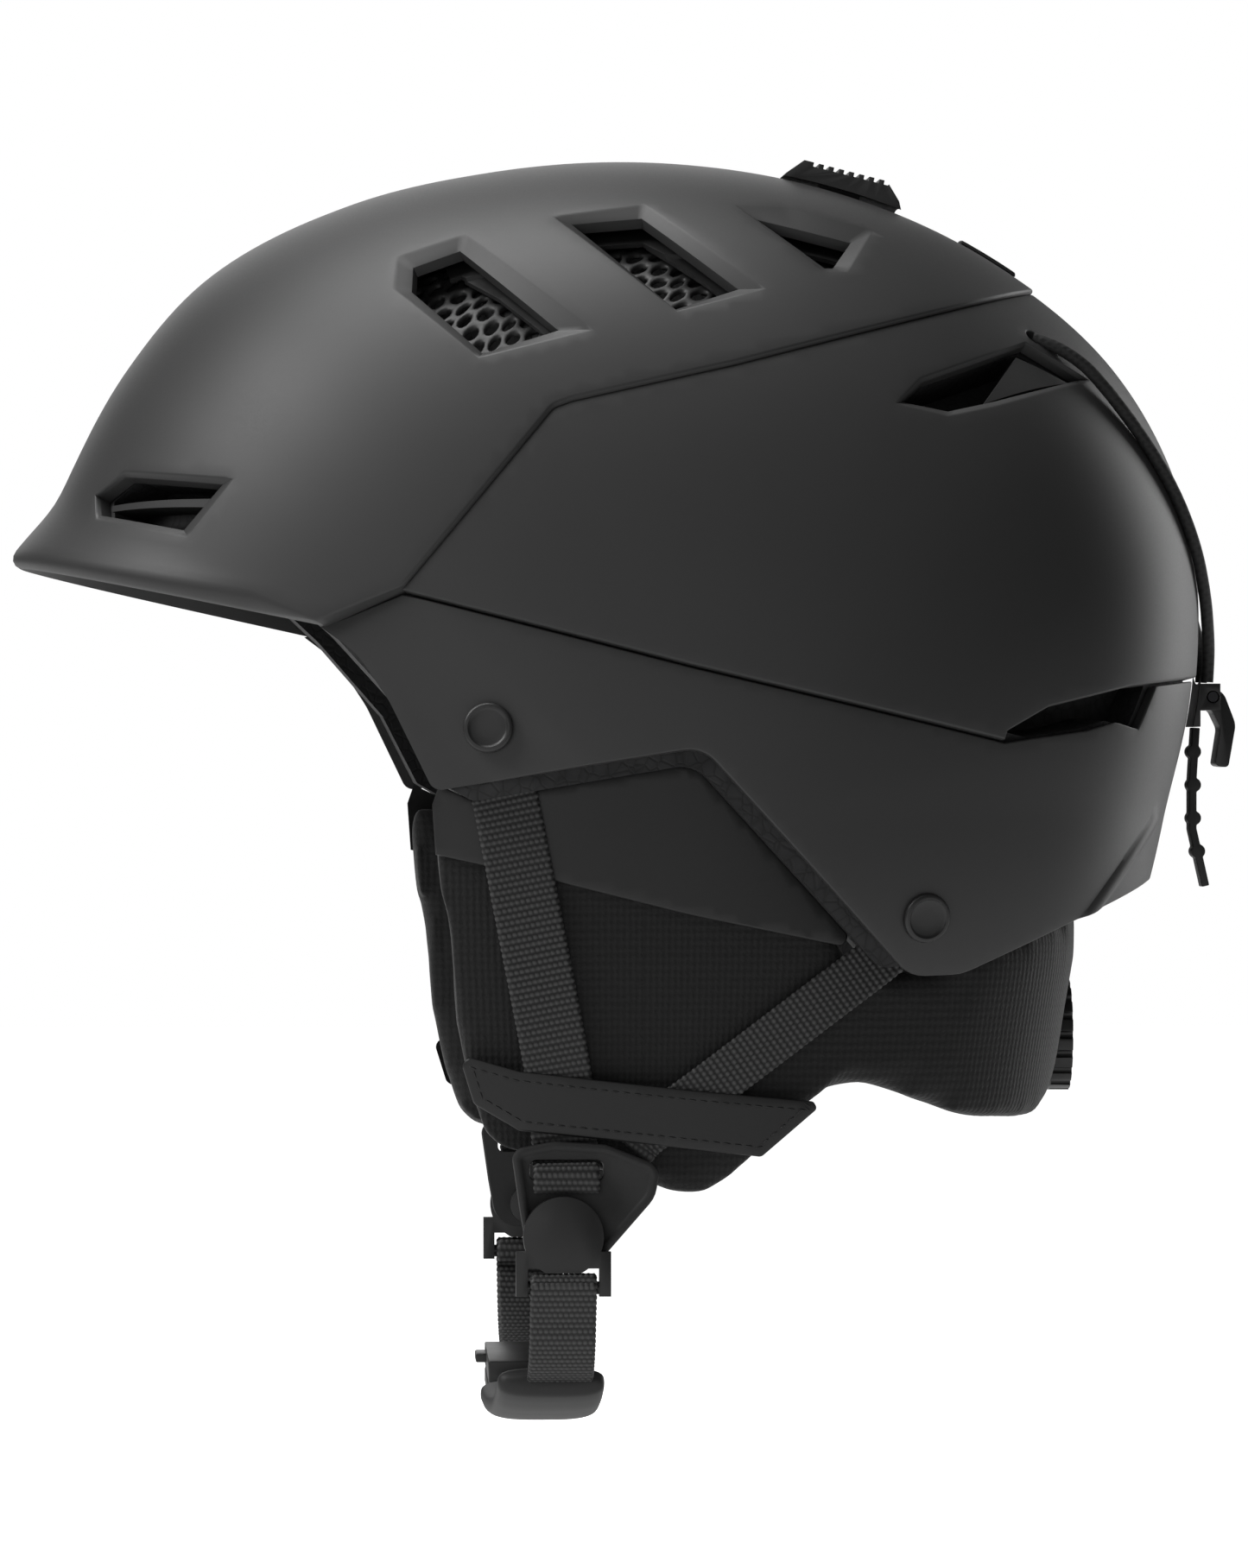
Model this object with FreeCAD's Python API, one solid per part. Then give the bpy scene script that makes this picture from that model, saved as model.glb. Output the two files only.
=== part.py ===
import FreeCAD, Part
import math
import os

# Ski helmet, millimetres. Front is -X, the wearer's left is -Y, up is +Z.
# The origin is in the middle of the head, at the height of the headband.
# Outlines are (x, z) or (x, z, corner radius) points seen from the side.

os.makedirs("parts", exist_ok=True)
Vector = FreeCAD.Vector

# Shell
dome_centre = Vector(0, 0, -40)
dome_profile = [(-60, 105), (-30, 114), (0, 121.5), (15, 133), (30, 146), (45, 154), (60, 156), (75, 157),
                (90, 158.5), (105, 161.8), (117, 166.5), (130, 170.7), (140, 168.9), (150, 165.6),
                (153, 165.6), (157, 168.8), (162, 173), (180, 172), (210, 150), (240, 120)]
dome_half_width = 110.0
dome_rear_widening = 0.05
dome_squareness = 1.2
shell_inside = 4.0
side_shell_recess = 1.0
lower_shell_recess = 2.0
seam_gap = 0.8
foam_outside = 4.3

# Head cavity
head_centre = Vector(-6, 0, 0)
head_half_length = 103.0
head_half_width = 83.0
head_height = 84.0
head_exponent = 2.3
comfort_pad_thickness = 5.0
pad_gap = 0.3
headband_depth = (0.4, 1.6)

# Wall of the ear and neck pad: (z, half length, half width) of the plan curve at each level
pad_levels = [(-20, 109, 96), (-72, 108, 93.5), (-135, 97, 86)]
pad_centre_x = -10.0
pad_exponent = 2.7
pad_thickness = 11.0

# Side-view outlines
seam_upper = [(-86.3, 6.8), (-66.4, 14.8), (-31.2, 57, 4), (-26.8, 58.6), (11.2, 67.2), (90.4, 88)]
brim_edge = [(-175, 25.5), (-155, 21.5), (-91.5, 8.3)]
seam_lower = [(-66.4, 14.2), (-0.1, -2.9), (73.7, -20.4)]
lower_vent_top = [(74.3, -18.4), (84.5, -12.7), (105.5, -7.7), (112.7, -6.8)]
lower_vent_bottom = [(81.1, -20), (94.1, -18.3), (101.7, -16.2), (107.8, -17.8)]
lower_edge = [(-86.3, 6.2), (-78, 0.3, 20), (-70.5, -11, 20), (-60.2, -32.3, 3), (2.6, -22.2, 8),
              (51.5, -75.6, 8), (64, -75.2, 12), (91.9, -63.1), (113.8, -54.2), (145, -46)]
foam_edge = [(-150, 26.5), (-92, 13), (-82, 4, 12), (-66, -14), (-57.5, -30.5), (-50, -34.8, 3),
             (1, -26.2, 8), (44.5, -73.5, 4), (58, -72, 8), (91, -60), (112.5, -51.5), (150, -42)]
pad_outline = [(-60.2, -36), (-50, -35.8), (0.4, -27.4, 8), (43.4, -74.8, 3), (57.6, -73.2, 5), (90, -61.6),
               (112, -53), (112, -72), (97, -92), (86.5, -110.6, 7), (68, -109.8, 12), (38, -99.5, 14),
               (4, -128.5, 9), (-47.5, -115, 12), (-53.5, -92, 40), (-57.4, -61, 40)]
panel_outline = [(-59.6, -37), (-49.8, -36.8), (0, -28.4, 8), (39, -69.5), (0.7, -61.2, 150),
                 (-31.3, -53.2, 150), (-58.8, -47.2)]
band_outline = [(-53.1, -93.4), (-39, -97.4), (1.2, -101.9), (29.4, -104.5), (30.4, -106.2), (17.3, -117.4),
                (-7, -114.6), (-39, -111.2), (-49.5, -105)]

# Vents: outline of the opening, and the direction it is cut along on the left side
top_vents = [[(-62.5, 90.5), (-51.5, 94.5), (-29.5, 75), (-47, 69.5), (-63, 84.5)],
             [(-25, 101), (-8.5, 102.5), (13, 85), (-2, 80)],
             [(19, 102.5), (41, 97), (36, 90.5), (34, 90.5)]]
top_vent_direction = Vector(-0.05, -0.5, 0.86)
brow_vent = [(-136, 37), (-130, 41.6), (-107.5, 39.2), (-116.5, 28.6), (-135.6, 32.6)]
brow_vent_direction = Vector(-0.77, -0.58, 0.25)
brow_louvre = [(-135.4, 35.6), (-109.6, 36.6), (-110.8, 34.6), (-135.4, 34.2)]
rear_vent = [(50.5, 58.3), (55.8, 63.1), (82, 72.6), (95.6, 64.9), (72.7, 58.7), (61.6, 56.2)]
rear_vent_direction = Vector(0.45, -0.7, 0.55)
rear_deflector = [(80.5, 71), (93.4, 65.2), (71.5, 59.4)]
rear_lower_vent_direction = Vector(0.65, -0.75, -0.05)
blind_vent_depth = 14.0

# Vent slider, which turns by a few degrees about a far axis along Y
slide_centre = Vector(-6, 0, -79)
slide_travel = 4.1
knob_angle = 14.1
knob_seat_radius = 197.5
knob_height = 4.0
knob_half_width = 11.0
knob_gap = 0.5
knob_rib_count = 8
knob_rib_pitch = 2.5
shutter_line = [(34, 184.2), (50, 177), (65, 166.2), (74, 157), (81, 146.5)]
bridge_line = [(-34, 184.2), (-20, 188.4), (-7, 190.2), (7, 190.2), (20, 188.4), (34, 184.2)]
shutter_rail_end = (57, 172.96)
shutter_thickness = 1.2
grille_drop = 2.8
grille_thickness = 1.5
grille_angles = (-20.5, 19.5)
grille_hole_radius = 2.0
grille_hole_pitch = 7.5

# Straps
webbing_thickness = 1.4
front_webbing_width = 15.0
rear_webbing_width = 11.0
webbing_stand_off = 2.1
passage_clearance = 0.3
anchor_places = [(-46.6, -17.8), (55, -61.8)]
anchor_cap_radius = 5.8
yoke_outline = [(-41, -115.5, 3), (-31, -113.6, 6), (-18.9, -114.4, 6), (-6.4, -119.4, 3),
                (-7.5, -126.6, 6), (-20.5, -141.5, 6), (-37, -140.8, 6), (-39, -129.5, 20)]
yoke_inner_y = 91.5
yoke_thickness = 3.0
pivot = (-29.0, -135.6)
pivot_disc_radius = 9.3
strap_x = -29.0
strap_width = 15.0
strap_bar_y = 96.5
strap_bar_z = -147.4
loop_outer_radius = 3.3
strap_route = [(96.5, -150.2), (95.2, -155), (92, -161), (84, -167.6), (66, -173.6), (38, -177.4),
               (0, -178.8)]
buckle_y = 51.0
buckle_z = -175.8
buckle_tilt = 7.7
buckle_length = 26.0
buckle_width = 24.0

# Fit dial and cradle
dial_z = -91.0
dial_radius = 13.5
dial_x = (90.6, 97.4)
cradle_offsets = (-14.6, -12.8)
cradle_outline = [(0, -80), (40, -76), (100, -73), (100, -106), (62, -104, 10), (36, -92, 20), (0, -88)]

# Goggle retainer
clip_pin_x = 131.6
clip_pin_z = -9.8
hook_half_width = 6.0
hook_outline = [(129.6, -6.8, 2), (134.4, -8.6, 4), (137.4, -16.4, 5), (135.6, -26.8, 1), (132.4, -26.4, 1),
                (133.8, -17.4, 3), (131.6, -12.8, 2), (129.2, -12.6, 2)]
cord_diameter = 3.0
cord_route = [(30.5, 49.5, -1.5), (28.5, 46.5, 2.4), (24.5, 40.5, 1.4), (19, 33.5, 1.0), (14.5, 27.5, 1.0),
              (10, 22.8, 1.0), (6, 19.3, 1.5), (3, 16.9, 2.2), (3, 14.5, 2.2)]


def profile_radius(angle):
    """Radius of the dome seen from the side, a smooth curve through dome_profile."""
    count = len(dome_profile)

    def knot(index):
        turns, place = divmod(index, count)
        return dome_profile[place][0] + 360 * turns, dome_profile[place][1]

    angle = (angle + 60) % 360 - 60
    index = 0
    while index < count - 1 and angle > dome_profile[index + 1][0]:
        index += 1
    before, start, end, after = [knot(index + step) for step in (-1, 0, 1, 2)]
    span = end[0] - start[0]
    slope_start = (end[1] - before[1]) / (end[0] - before[0])
    slope_end = (after[1] - start[1]) / (after[0] - start[0])
    s = (angle - start[0]) / span
    return ((2 * s**3 - 3 * s**2 + 1) * start[1] + (s**3 - 2 * s**2 + s) * span * slope_start
            + (3 * s**2 - 2 * s**3) * end[1] + (s**3 - s**2) * span * slope_end)


def shell_radius(direction):
    """Distance from dome_centre to the outside of the shell along a unit direction."""
    in_plane = math.hypot(direction.x, direction.z)
    side_view = profile_radius(math.degrees(math.atan2(direction.z, direction.x)))
    width = dome_half_width * (1 + dome_rear_widening * direction.x)
    a = (in_plane / side_view) ** 2
    b = (direction.y / width) ** 2
    return math.sqrt(2 / (a + b + math.sqrt((a + b) ** 2 - dome_squareness * a * b)))


def head_radius(direction):
    """Distance from head_centre to the wall of the head cavity along a unit direction."""
    terms = (direction.x / head_half_length, direction.y / head_half_width, direction.z / head_height)
    return sum(abs(term) ** head_exponent for term in terms) ** (-1 / head_exponent)


def dome(radius, centre, depth, floor):
    """Closed solid under a dome that lies depth inside the given radius function."""
    reach = 111.0
    steps = 33
    grid_lines = [math.tan(math.radians(2 * reach * i / (steps - 1) - reach) / 2) for i in range(steps)]
    rows = []
    for u in grid_lines:
        row = []
        for v in grid_lines:
            scale = 1 + u * u + v * v
            direction = Vector(2 * u / scale, 2 * v / scale, (2 - scale) / scale)
            row.append(centre + direction * (radius(direction) - depth))
        rows.append(row)
    surface = Part.BSplineSurface()
    surface.interpolate(rows)
    top = surface.toShape()
    faces = [top]
    floor_edges = []
    for edge in top.Edges:
        flat = edge.Curve.copy()
        for i in range(1, flat.NbPoles + 1):
            pole = flat.getPole(i)
            flat.setPole(i, Vector(pole.x, pole.y, floor))
        flat_edge = flat.toShape(edge.FirstParameter, edge.LastParameter)
        faces.append(Part.makeRuledSurface(edge, flat_edge))
        floor_edges.append(flat_edge)
    faces.append(Part.Face(Part.Wire(Part.__sortEdges__(floor_edges))))
    shell = Part.makeShell(faces)
    shell.sewShape()
    solid = Part.makeSolid(shell)
    if solid.Volume < 0:
        solid.reverse()
    return solid


def shell_dome(depth):
    return dome(shell_radius, dome_centre, depth, -200 - 2 * depth)


def head_dome(depth):
    return dome(head_radius, head_centre, depth, -230 - 2 * depth)


def outline_edges(points):
    """Edges of a closed outline of Vectors, each with a corner radius."""
    count = len(points)
    joints = []
    for i, (corner, radius) in enumerate(points):
        towards_last = (points[i - 1][0] - corner).normalize()
        towards_next = (points[(i + 1) % count][0] - corner).normalize()
        half = towards_last.getAngle(towards_next) / 2
        if radius == 0 or half > math.radians(89.5):
            joints.append((corner, corner, None))
            continue
        reach = radius / math.tan(half)
        middle = (towards_last + towards_next).normalize()
        apex = corner + middle * (radius / math.sin(half) - radius)
        joints.append((corner + towards_last * reach, corner + towards_next * reach, apex))
    edges = []
    for i, (start, end, apex) in enumerate(joints):
        if apex is not None:
            edges.append(Part.Arc(start, apex, end).toShape())
        following = joints[(i + 1) % count][0]
        if end.distanceToPoint(following) > 0.001:
            edges.append(Part.LineSegment(end, following).toShape())
    return edges


def outline_face(outline, y=0.0):
    points = [(Vector(p[0], y, p[1]), p[2] if len(p) > 2 else 0) for p in outline]
    return Part.Face(Part.Wire(outline_edges(points)))


def side_prism(outline, y_from=-150.0, y_to=150.0):
    """Solid with the given side-view outline between two values of y."""
    return outline_face(outline, y_from).extrude(Vector(0, y_to - y_from, 0))


def box(x, y, z):
    return Part.makeBox(x[1] - x[0], y[1] - y[0], z[1] - z[0], Vector(x[0], y[0], z[0]))


def rod(start, end, radius):
    axis = end - start
    return Part.makeCylinder(radius, axis.Length, start, axis)


def surface_point(x, z, side, depth=0.0):
    """Point of the shell surface seen at (x, z) from the given side, -1 for left."""
    inner, outer = 0.0, 130.0
    for _ in range(30):
        y = (inner + outer) / 2
        ray = Vector(x, y, z) - dome_centre
        length = ray.Length
        if length < shell_radius(ray / length) - depth:
            inner = y
        else:
            outer = y
    return Vector(x, side * inner, z)


def surface_normal(x, z, side):
    here = surface_point(x, z, side)
    along = surface_point(x + 1, z, side) - here
    up = surface_point(x, z + 1, side) - here
    normal = along.cross(up).normalize()
    return normal if normal.y * side > 0 else -normal


def vent_prism(outline, direction, inward, side=-1):
    """Prism through the shell at a vent, square to the direction the vent is cut along."""
    axis = Vector(direction.x, -side * direction.y, direction.z).normalize()
    places = [surface_point(p[0], p[1], side) for p in outline]
    middle = sum(places, Vector()) / len(places)
    start = middle + axis * 14
    flat = [place - axis * ((place - start).dot(axis)) for place in places]
    return Part.Face(Part.makePolygon(flat + [flat[0]])).extrude(axis * (-14 - inward))


def pad_half_sizes(z):
    """Half length and half width of the ear pad's plan curve at height z."""
    upper, lower = pad_levels[:2] if z > pad_levels[1][0] else pad_levels[1:]
    share = (z - upper[0]) / (lower[0] - upper[0])
    return [upper[i] + share * (lower[i] - upper[i]) for i in (1, 2)]


def pad_side_y(x, z, offset):
    """Distance from the middle plane to the ear pad's outside, moved out by offset."""
    length, width = pad_half_sizes(z)
    along = abs((x - pad_centre_x) / (length + offset))
    return (width + offset) * (1 - along**pad_exponent) ** (1 / pad_exponent)


def pad_wall(inner_offset, outer_offset):
    """C-shaped wall round the ears and nape, between two offsets from the ear pad's outside."""
    sweep = 145
    step = 5
    wires = []
    for z, length, width in pad_levels:
        curves = []
        for offset in (outer_offset, inner_offset):
            points = []
            for degrees in range(-sweep, sweep + 1, step):
                c = math.cos(math.radians(degrees))
                s = math.sin(math.radians(degrees))
                x = math.copysign(abs(c) ** (2 / pad_exponent), c) * (length + offset)
                y = math.copysign(abs(s) ** (2 / pad_exponent), s) * (width + offset)
                points.append(Vector(pad_centre_x + x, y, z))
            curve = Part.BSplineCurve()
            curve.interpolate(points)
            curves.append((curve.toShape(), points[0], points[-1]))
        (outer, outer_start, outer_end), (inner, inner_start, inner_end) = curves
        closing = Part.LineSegment(outer_end, inner_end).toShape()
        opening = Part.LineSegment(inner_start, outer_start).toShape()
        wires.append(Part.Wire(Part.__sortEdges__([outer, inner, closing, opening])))
    return Part.makeLoft(wires, True, True)


def strap(points, width, thickness, width_axis=None):
    """Flat strap along points; its width lies in the plane square to Y, or along width_axis."""
    wires = []
    for i, point in enumerate(points):
        ahead = points[min(i + 1, len(points) - 1)]
        behind = points[max(i - 1, 0)]
        along = (ahead - behind).normalize()
        across = width_axis or Vector(0, 1, 0).cross(along).normalize()
        through = along.cross(across).normalize()
        a = across * (width / 2)
        t = through * (thickness / 2)
        corners = [point + a + t, point - a + t, point - a - t, point + a - t]
        wires.append(Part.makePolygon(corners + [corners[0]]))
    return Part.makeLoft(wires, True, True)


def revolved_sheet(line, outer_offset, inner_offset, angles):
    """Sheet swept about the slide axis; line holds (y, radius) points."""
    start, end = angles
    upper = [Vector(slide_centre.x, y, slide_centre.z + r + outer_offset) for y, r in line]
    lower = [Vector(slide_centre.x, y, slide_centre.z + r + inner_offset) for y, r in reversed(line)]
    face = Part.Face(Part.makePolygon(upper + lower + [upper[0]]))
    face.rotate(slide_centre, Vector(0, 1, 0), start)
    return face.revolve(slide_centre, Vector(0, 1, 0), end - start)


def left_line(line):
    return [(-y, r) for y, r in line]


def turned_about_slide(shape, degrees):
    turned = shape.copy()
    turned.rotate(slide_centre, Vector(0, 1, 0), degrees)
    return turned


def knob_block(t, y, h):
    """Box in the knob's frame: t along the slide (rear positive), h above the seat."""
    block = box((slide_centre.x + t[0], slide_centre.x + t[1]), y,
                (slide_centre.z + knob_seat_radius + h[0], slide_centre.z + knob_seat_radius + h[1]))
    return turned_about_slide(block, knob_angle)


def cord_points(side):
    points = []
    for azimuth, elevation, lift in cord_route:
        a = math.radians(azimuth)
        e = math.radians(elevation)
        direction = Vector(math.cos(a) * math.cos(e), side * math.sin(a) * math.cos(e), math.sin(e))
        points.append(dome_centre + direction * (shell_radius(direction) + lift))
    return points


def cord_tube(points, diameter):
    """Round tube along straight runs joined by tangent arcs, and the radii of its arcs."""
    edges = []
    radii = []
    place = points[0]
    for i in range(1, len(points) - 1):
        towards_last = points[i - 1] - points[i]
        towards_next = points[i + 1] - points[i]
        shorter = min(towards_last.Length, towards_next.Length)
        half = towards_last.getAngle(towards_next) / 2
        radius = 0.45 * shorter * math.tan(half)
        radii.append(radius)
        towards_last.normalize()
        towards_next.normalize()
        start = points[i] + towards_last * (0.45 * shorter)
        end = points[i] + towards_next * (0.45 * shorter)
        middle = (towards_last + towards_next).normalize()
        apex = points[i] + middle * (radius / math.sin(half) - radius)
        edges += [Part.LineSegment(place, start).toShape(), Part.Arc(start, apex, end).toShape()]
        place = end
    edges.append(Part.LineSegment(place, points[-1]).toShape())
    section = Part.Wire(Part.Circle(points[0], points[1] - points[0], diameter / 2).toShape())
    return Part.Wire(edges).makePipeShell([section], True, False), radii, sum(edge.Length for edge in edges)


def save(name, shape):
    solids = shape.Solids
    result = solids[0] if len(solids) == 1 else Part.makeCompound(solids)
    if not result.isValid():
        print("invalid", name)
    result.exportStep("parts/" + name + ".step")
    print(name, len(solids), round(result.Volume / 1000, 2), "cm3")


def shifted(outline, dz):
    return [(p[0], p[1] + dz) + tuple(p[2:]) for p in outline]


# Shared bodies
outside = shell_dome(0)
side_outside = shell_dome(side_shell_recess)
lower_outside = shell_dome(lower_shell_recess)
inside = shell_dome(shell_inside)
cavity = head_dome(0)

# Where each shell panel lies in the side view
crown_zone = brim_edge + shifted(seam_upper, seam_gap / 2) + [(145, 102), (145, 180), (-175, 180)]
side_zone = (shifted(seam_upper[1:], -seam_gap / 2) + [(145, 101.2), (145, -3)]
             + lower_vent_top[::-1] + seam_lower[:0:-1])
lower_zone = (shifted(seam_upper[:1], -seam_gap / 2) + shifted(seam_lower, -seam_gap) + lower_vent_bottom
              + [(112.7, -7.6), (145, -3.8)] + lower_edge[::-1])
foam_zone = foam_edge + [(150, 150), (-190, 150), (-190, 30)]

# Vent openings
crown_cuts = []
foam_cuts = []
for side in (-1, 1):
    for vent in top_vents:
        crown_cuts.append(vent_prism(vent, top_vent_direction, 20, side))
        foam_cuts.append(vent_prism(vent, top_vent_direction, 60, side))
    crown_cuts.append(vent_prism(brow_vent, brow_vent_direction, 20, side))
    foam_cuts.append(vent_prism(brow_vent, brow_vent_direction, blind_vent_depth, side))
    foam_cuts.append(vent_prism(rear_vent, rear_vent_direction, blind_vent_depth, side))
    lower_vent = lower_vent_top + lower_vent_bottom[::-1]
    foam_cuts.append(vent_prism(lower_vent, rear_lower_vent_direction, blind_vent_depth, side))

# Pocket in the foam for the shutters, the bridge between them and the grilles
pocket_depth = grille_drop + grille_thickness + 0.3
for line in (shutter_line, left_line(shutter_line)):
    widened = [(line[0][0] * 0.93, line[0][1])] + line[1:-1] + [(line[-1][0] * 1.01, line[-1][1] - 1.5)]
    pocket_angles = (grille_angles[0] - 0.5, grille_angles[1] + 0.5)
    foam_cuts.append(revolved_sheet(widened, 9, -pocket_depth, pocket_angles))
foam_cuts.append(revolved_sheet(bridge_line, 9, -2.4, (6.5, 19.5)))

slider_slot = knob_block((-20.5, 6.5), (-4.2, 4.2), (-12, 3))

# Strap anchors: cap outside the lower shell, plate and screw behind it
caps, screws, plates, shell_holes, anchor_pockets = [], [], [], [], []
for side in (-1, 1):
    for x, z in anchor_places:
        seat = surface_point(x, z, side, lower_shell_recess)
        normal = surface_normal(x, z, side)
        cap = rod(seat + normal * 0.2, seat + normal * 1.6, anchor_cap_radius)
        boss = rod(seat - normal * 4.5, seat + normal * 0.2, 2.9)
        bore = rod(seat - normal * 4.6, seat - normal * 0.6, 1.2)
        caps.append(cap.fuse(boss).cut(bore))
        shell_holes.append(rod(seat - normal * 6, seat + normal * 6, 3.2))
        plates.append(rod(seat - normal * 6.6, seat - normal * 5, 8).cut(rod(seat - normal * 7, seat, 1.6)))
        head = rod(seat - normal * 8.2, seat - normal * 6.7, 2.6)
        screws.append(head.fuse(rod(seat - normal * 6.8, seat - normal * 1.2, 1.1)))
        anchor_pockets.append(rod(seat - normal * 9, seat + normal * 4, 9))

# Webbing from each anchor down to the yoke
front_route = [(-45.6, -27), (-43.2, -31), (-36.6, -64), (-30.2, -97), (-28.6, -112), (-28.3, -116.6)]
rear_route = [(47, -69.6), (30, -82.4), (3.2, -102.6), (-9.5, -111.6), (-13, -115.5)]


def front_webbing(side, clearance=0.0):
    """The front strap ends on the yoke's face, through the yoke's slot."""
    points = [Vector(x, side * pad_side_y(x, z, webbing_stand_off), z) for x, z in front_route]
    face_y = side * (yoke_inner_y + yoke_thickness + 0.9)
    points += [Vector(-28.2, face_y, -120.4), Vector(-28.2, face_y, -125.4)]
    return strap(points, front_webbing_width + 2 * clearance, webbing_thickness + 2 * clearance)


def rear_webbing(side, clearance=0.0):
    """The rear strap starts behind the lower shell, at its anchor plate."""
    x, z = anchor_places[1]
    seat = surface_point(x, z, side, lower_shell_recess) - surface_normal(x, z, side) * 8
    points = [Vector(seat.x - 6, seat.y, seat.z - 4)]
    points += [Vector(x, side * pad_side_y(x, z, webbing_stand_off), z) for x, z in rear_route]
    return strap(points, rear_webbing_width + 2 * clearance, webbing_thickness + 2 * clearance)


# Shell panels
crown_shell = outside.common(side_prism(crown_zone)).cut([inside, slider_slot] + crown_cuts)
save("crown_shell", crown_shell)

cord_holes = []
for side in (-1, 1):
    first, second = cord_points(side)[:2]
    out = (second - first).normalize()
    cord_holes.append(rod(first - out * 8, first + out * 4, cord_diameter / 2 + 0.6))

rear_vent_cuts = [vent_prism(rear_vent, rear_vent_direction, 20, side) for side in (-1, 1)]
side_shell = side_outside.common(side_prism(side_zone)).cut([inside] + rear_vent_cuts + cord_holes)
save("side_shell", side_shell)

lower_shell = lower_outside.common(side_prism(lower_zone)).cut([inside] + shell_holes)
save("lower_shell", lower_shell)

# Liner
liner_cuts = foam_cuts + anchor_pockets + cord_holes
for side in (-1, 1):
    liner_cuts += [front_webbing(side, passage_clearance), rear_webbing(side, passage_clearance)]
foam_liner = shell_dome(foam_outside).common(side_prism(foam_zone)).cut([cavity] + liner_cuts)
save("foam_liner", foam_liner)

# Grilles below the top vents
for name, line, side in (("left", left_line(shutter_line), -1), ("right", shutter_line, 1)):
    sheet = revolved_sheet(line, -grille_drop, -grille_drop - grille_thickness, grille_angles)
    axis = Vector(top_vent_direction.x, -side * top_vent_direction.y, top_vent_direction.z).normalize()
    holes = []
    for vent in top_vents:
        opening = outline_face(vent)
        for row in range(4):
            for column in range(5):
                x = min(p[0] for p in vent) + 4 + column * grille_hole_pitch
                z = min(p[1] for p in vent) + 3 + row * grille_hole_pitch
                if opening.isInside(Vector(x, 0, z), 0.01, True):
                    place = surface_point(x, z, side)
                    holes.append(rod(place + axis * 5, place - axis * 20, grille_hole_radius))
    save("vent_grille_" + name, sheet.cut(holes))

# Louvres in the brow vents and deflectors in the rear vents
louvre_skin = shell_dome(3).cut(shell_dome(10))
deflector_skin = shell_dome(2.4).cut(shell_dome(4.1))
for name, side in (("left", -1), ("right", 1)):
    louvre = louvre_skin.common(vent_prism(brow_louvre, brow_vent_direction, 20, side))
    save("brow_louvre_" + name, louvre.cut([crown_shell, foam_liner]))
    deflector = deflector_skin.common(vent_prism(rear_deflector, rear_vent_direction, 20, side))
    save("rear_deflector_" + name, deflector)

# Vent slider
knob_profile = [(-15.5, -3), (-14, 0), (-10.5, knob_height), (10, knob_height), (14, 0), (15.5, -3)]
knob = outline_face([(slide_centre.x + t, slide_centre.z + knob_seat_radius + h) for t, h in knob_profile],
                    -knob_half_width).extrude(Vector(0, 2 * knob_half_width, 0))
knob = turned_about_slide(knob, knob_angle)
for rib in range(knob_rib_count):
    t = (rib - (knob_rib_count - 1) / 2) * knob_rib_pitch
    groove = knob_block((t + 0.65, t + 1.85), (-knob_half_width - 1, knob_half_width + 1),
                        (knob_height - 1, knob_height + 1))
    knob = knob.cut(groove)
crown_clearance = shell_dome(-knob_gap)
knob = knob.cut([turned_about_slide(crown_clearance, share * slide_travel) for share in (0, 0.5, 1)])
knob = knob.fuse(knob_block((-5, 5), (-3.4, 3.4), (-6.2, 0.5)))
save("vent_knob", knob)

bridge = revolved_sheet(bridge_line, 0, -shutter_thickness, (12.2, 16))
save("shutter_bridge", bridge)

for name, line, side in (("left", left_line(shutter_line), -1), ("right", shutter_line, 1)):
    openings = [vent_prism(vent, top_vent_direction, 30, side) for vent in top_vents]
    rail_line = line[:2] + [(side * shutter_rail_end[0], shutter_rail_end[1])]
    rail = revolved_sheet(rail_line, 0, -shutter_thickness, (-16, 19)).cut(openings)
    sheet = revolved_sheet(line, 0, -shutter_thickness, (-17, 19))
    blades = [sheet.common(turned_about_slide(opening, slide_travel)).cut(openings) for opening in openings]
    save("vent_shutter_" + name, rail.multiFuse(blades))

# Ear and neck pad with its facings
dial_hole = rod(Vector(70, 0, dial_z), Vector(120, 0, dial_z), dial_radius + 3)
straps = {side: [front_webbing(side), rear_webbing(side)] for side in (-1, 1)}
side_straps = straps[-1] + straps[1]
ear_neck_pad = pad_wall(-pad_thickness, 0).common(side_prism(pad_outline))
save("ear_neck_pad", ear_neck_pad.cut([dial_hole] + side_straps))
panel = pad_wall(0.1, 1).common(side_prism(panel_outline)).cut(side_straps)
band = pad_wall(3.1, 4.1).common(side_prism(band_outline)).cut(side_straps)
for name, y in (("left", (-120, -40)), ("right", (40, 120))):
    half = box((-120, 120), y, (-200, 0))
    save("ear_panel_" + name, panel.common(half))
    save("ear_band_" + name, band.common(half))

# Straps down each side, and the yoke that joins them
yoke_face_y = yoke_inner_y + yoke_thickness
for name, side in (("left", -1), ("right", 1)):
    save("front_webbing_" + name, straps[side][0])
    save("rear_webbing_" + name, straps[side][1])
    ends = sorted((side * yoke_inner_y, side * yoke_face_y))
    yoke = side_prism(yoke_outline, ends[0], ends[1])
    slot = box((-37.4, -19), ends, (-122.6, -116.8))
    pivot_bore = rod(Vector(pivot[0], ends[0] - 1, pivot[1]), Vector(pivot[0], ends[1] + 1, pivot[1]), 3.2)
    save("yoke_" + name, yoke.cut([slot, pivot_bore]))

save("anchor_caps", Part.makeCompound(caps))
save("anchor_plates", Part.makeCompound(plates))
save("anchor_screws", Part.makeCompound(screws))

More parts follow.
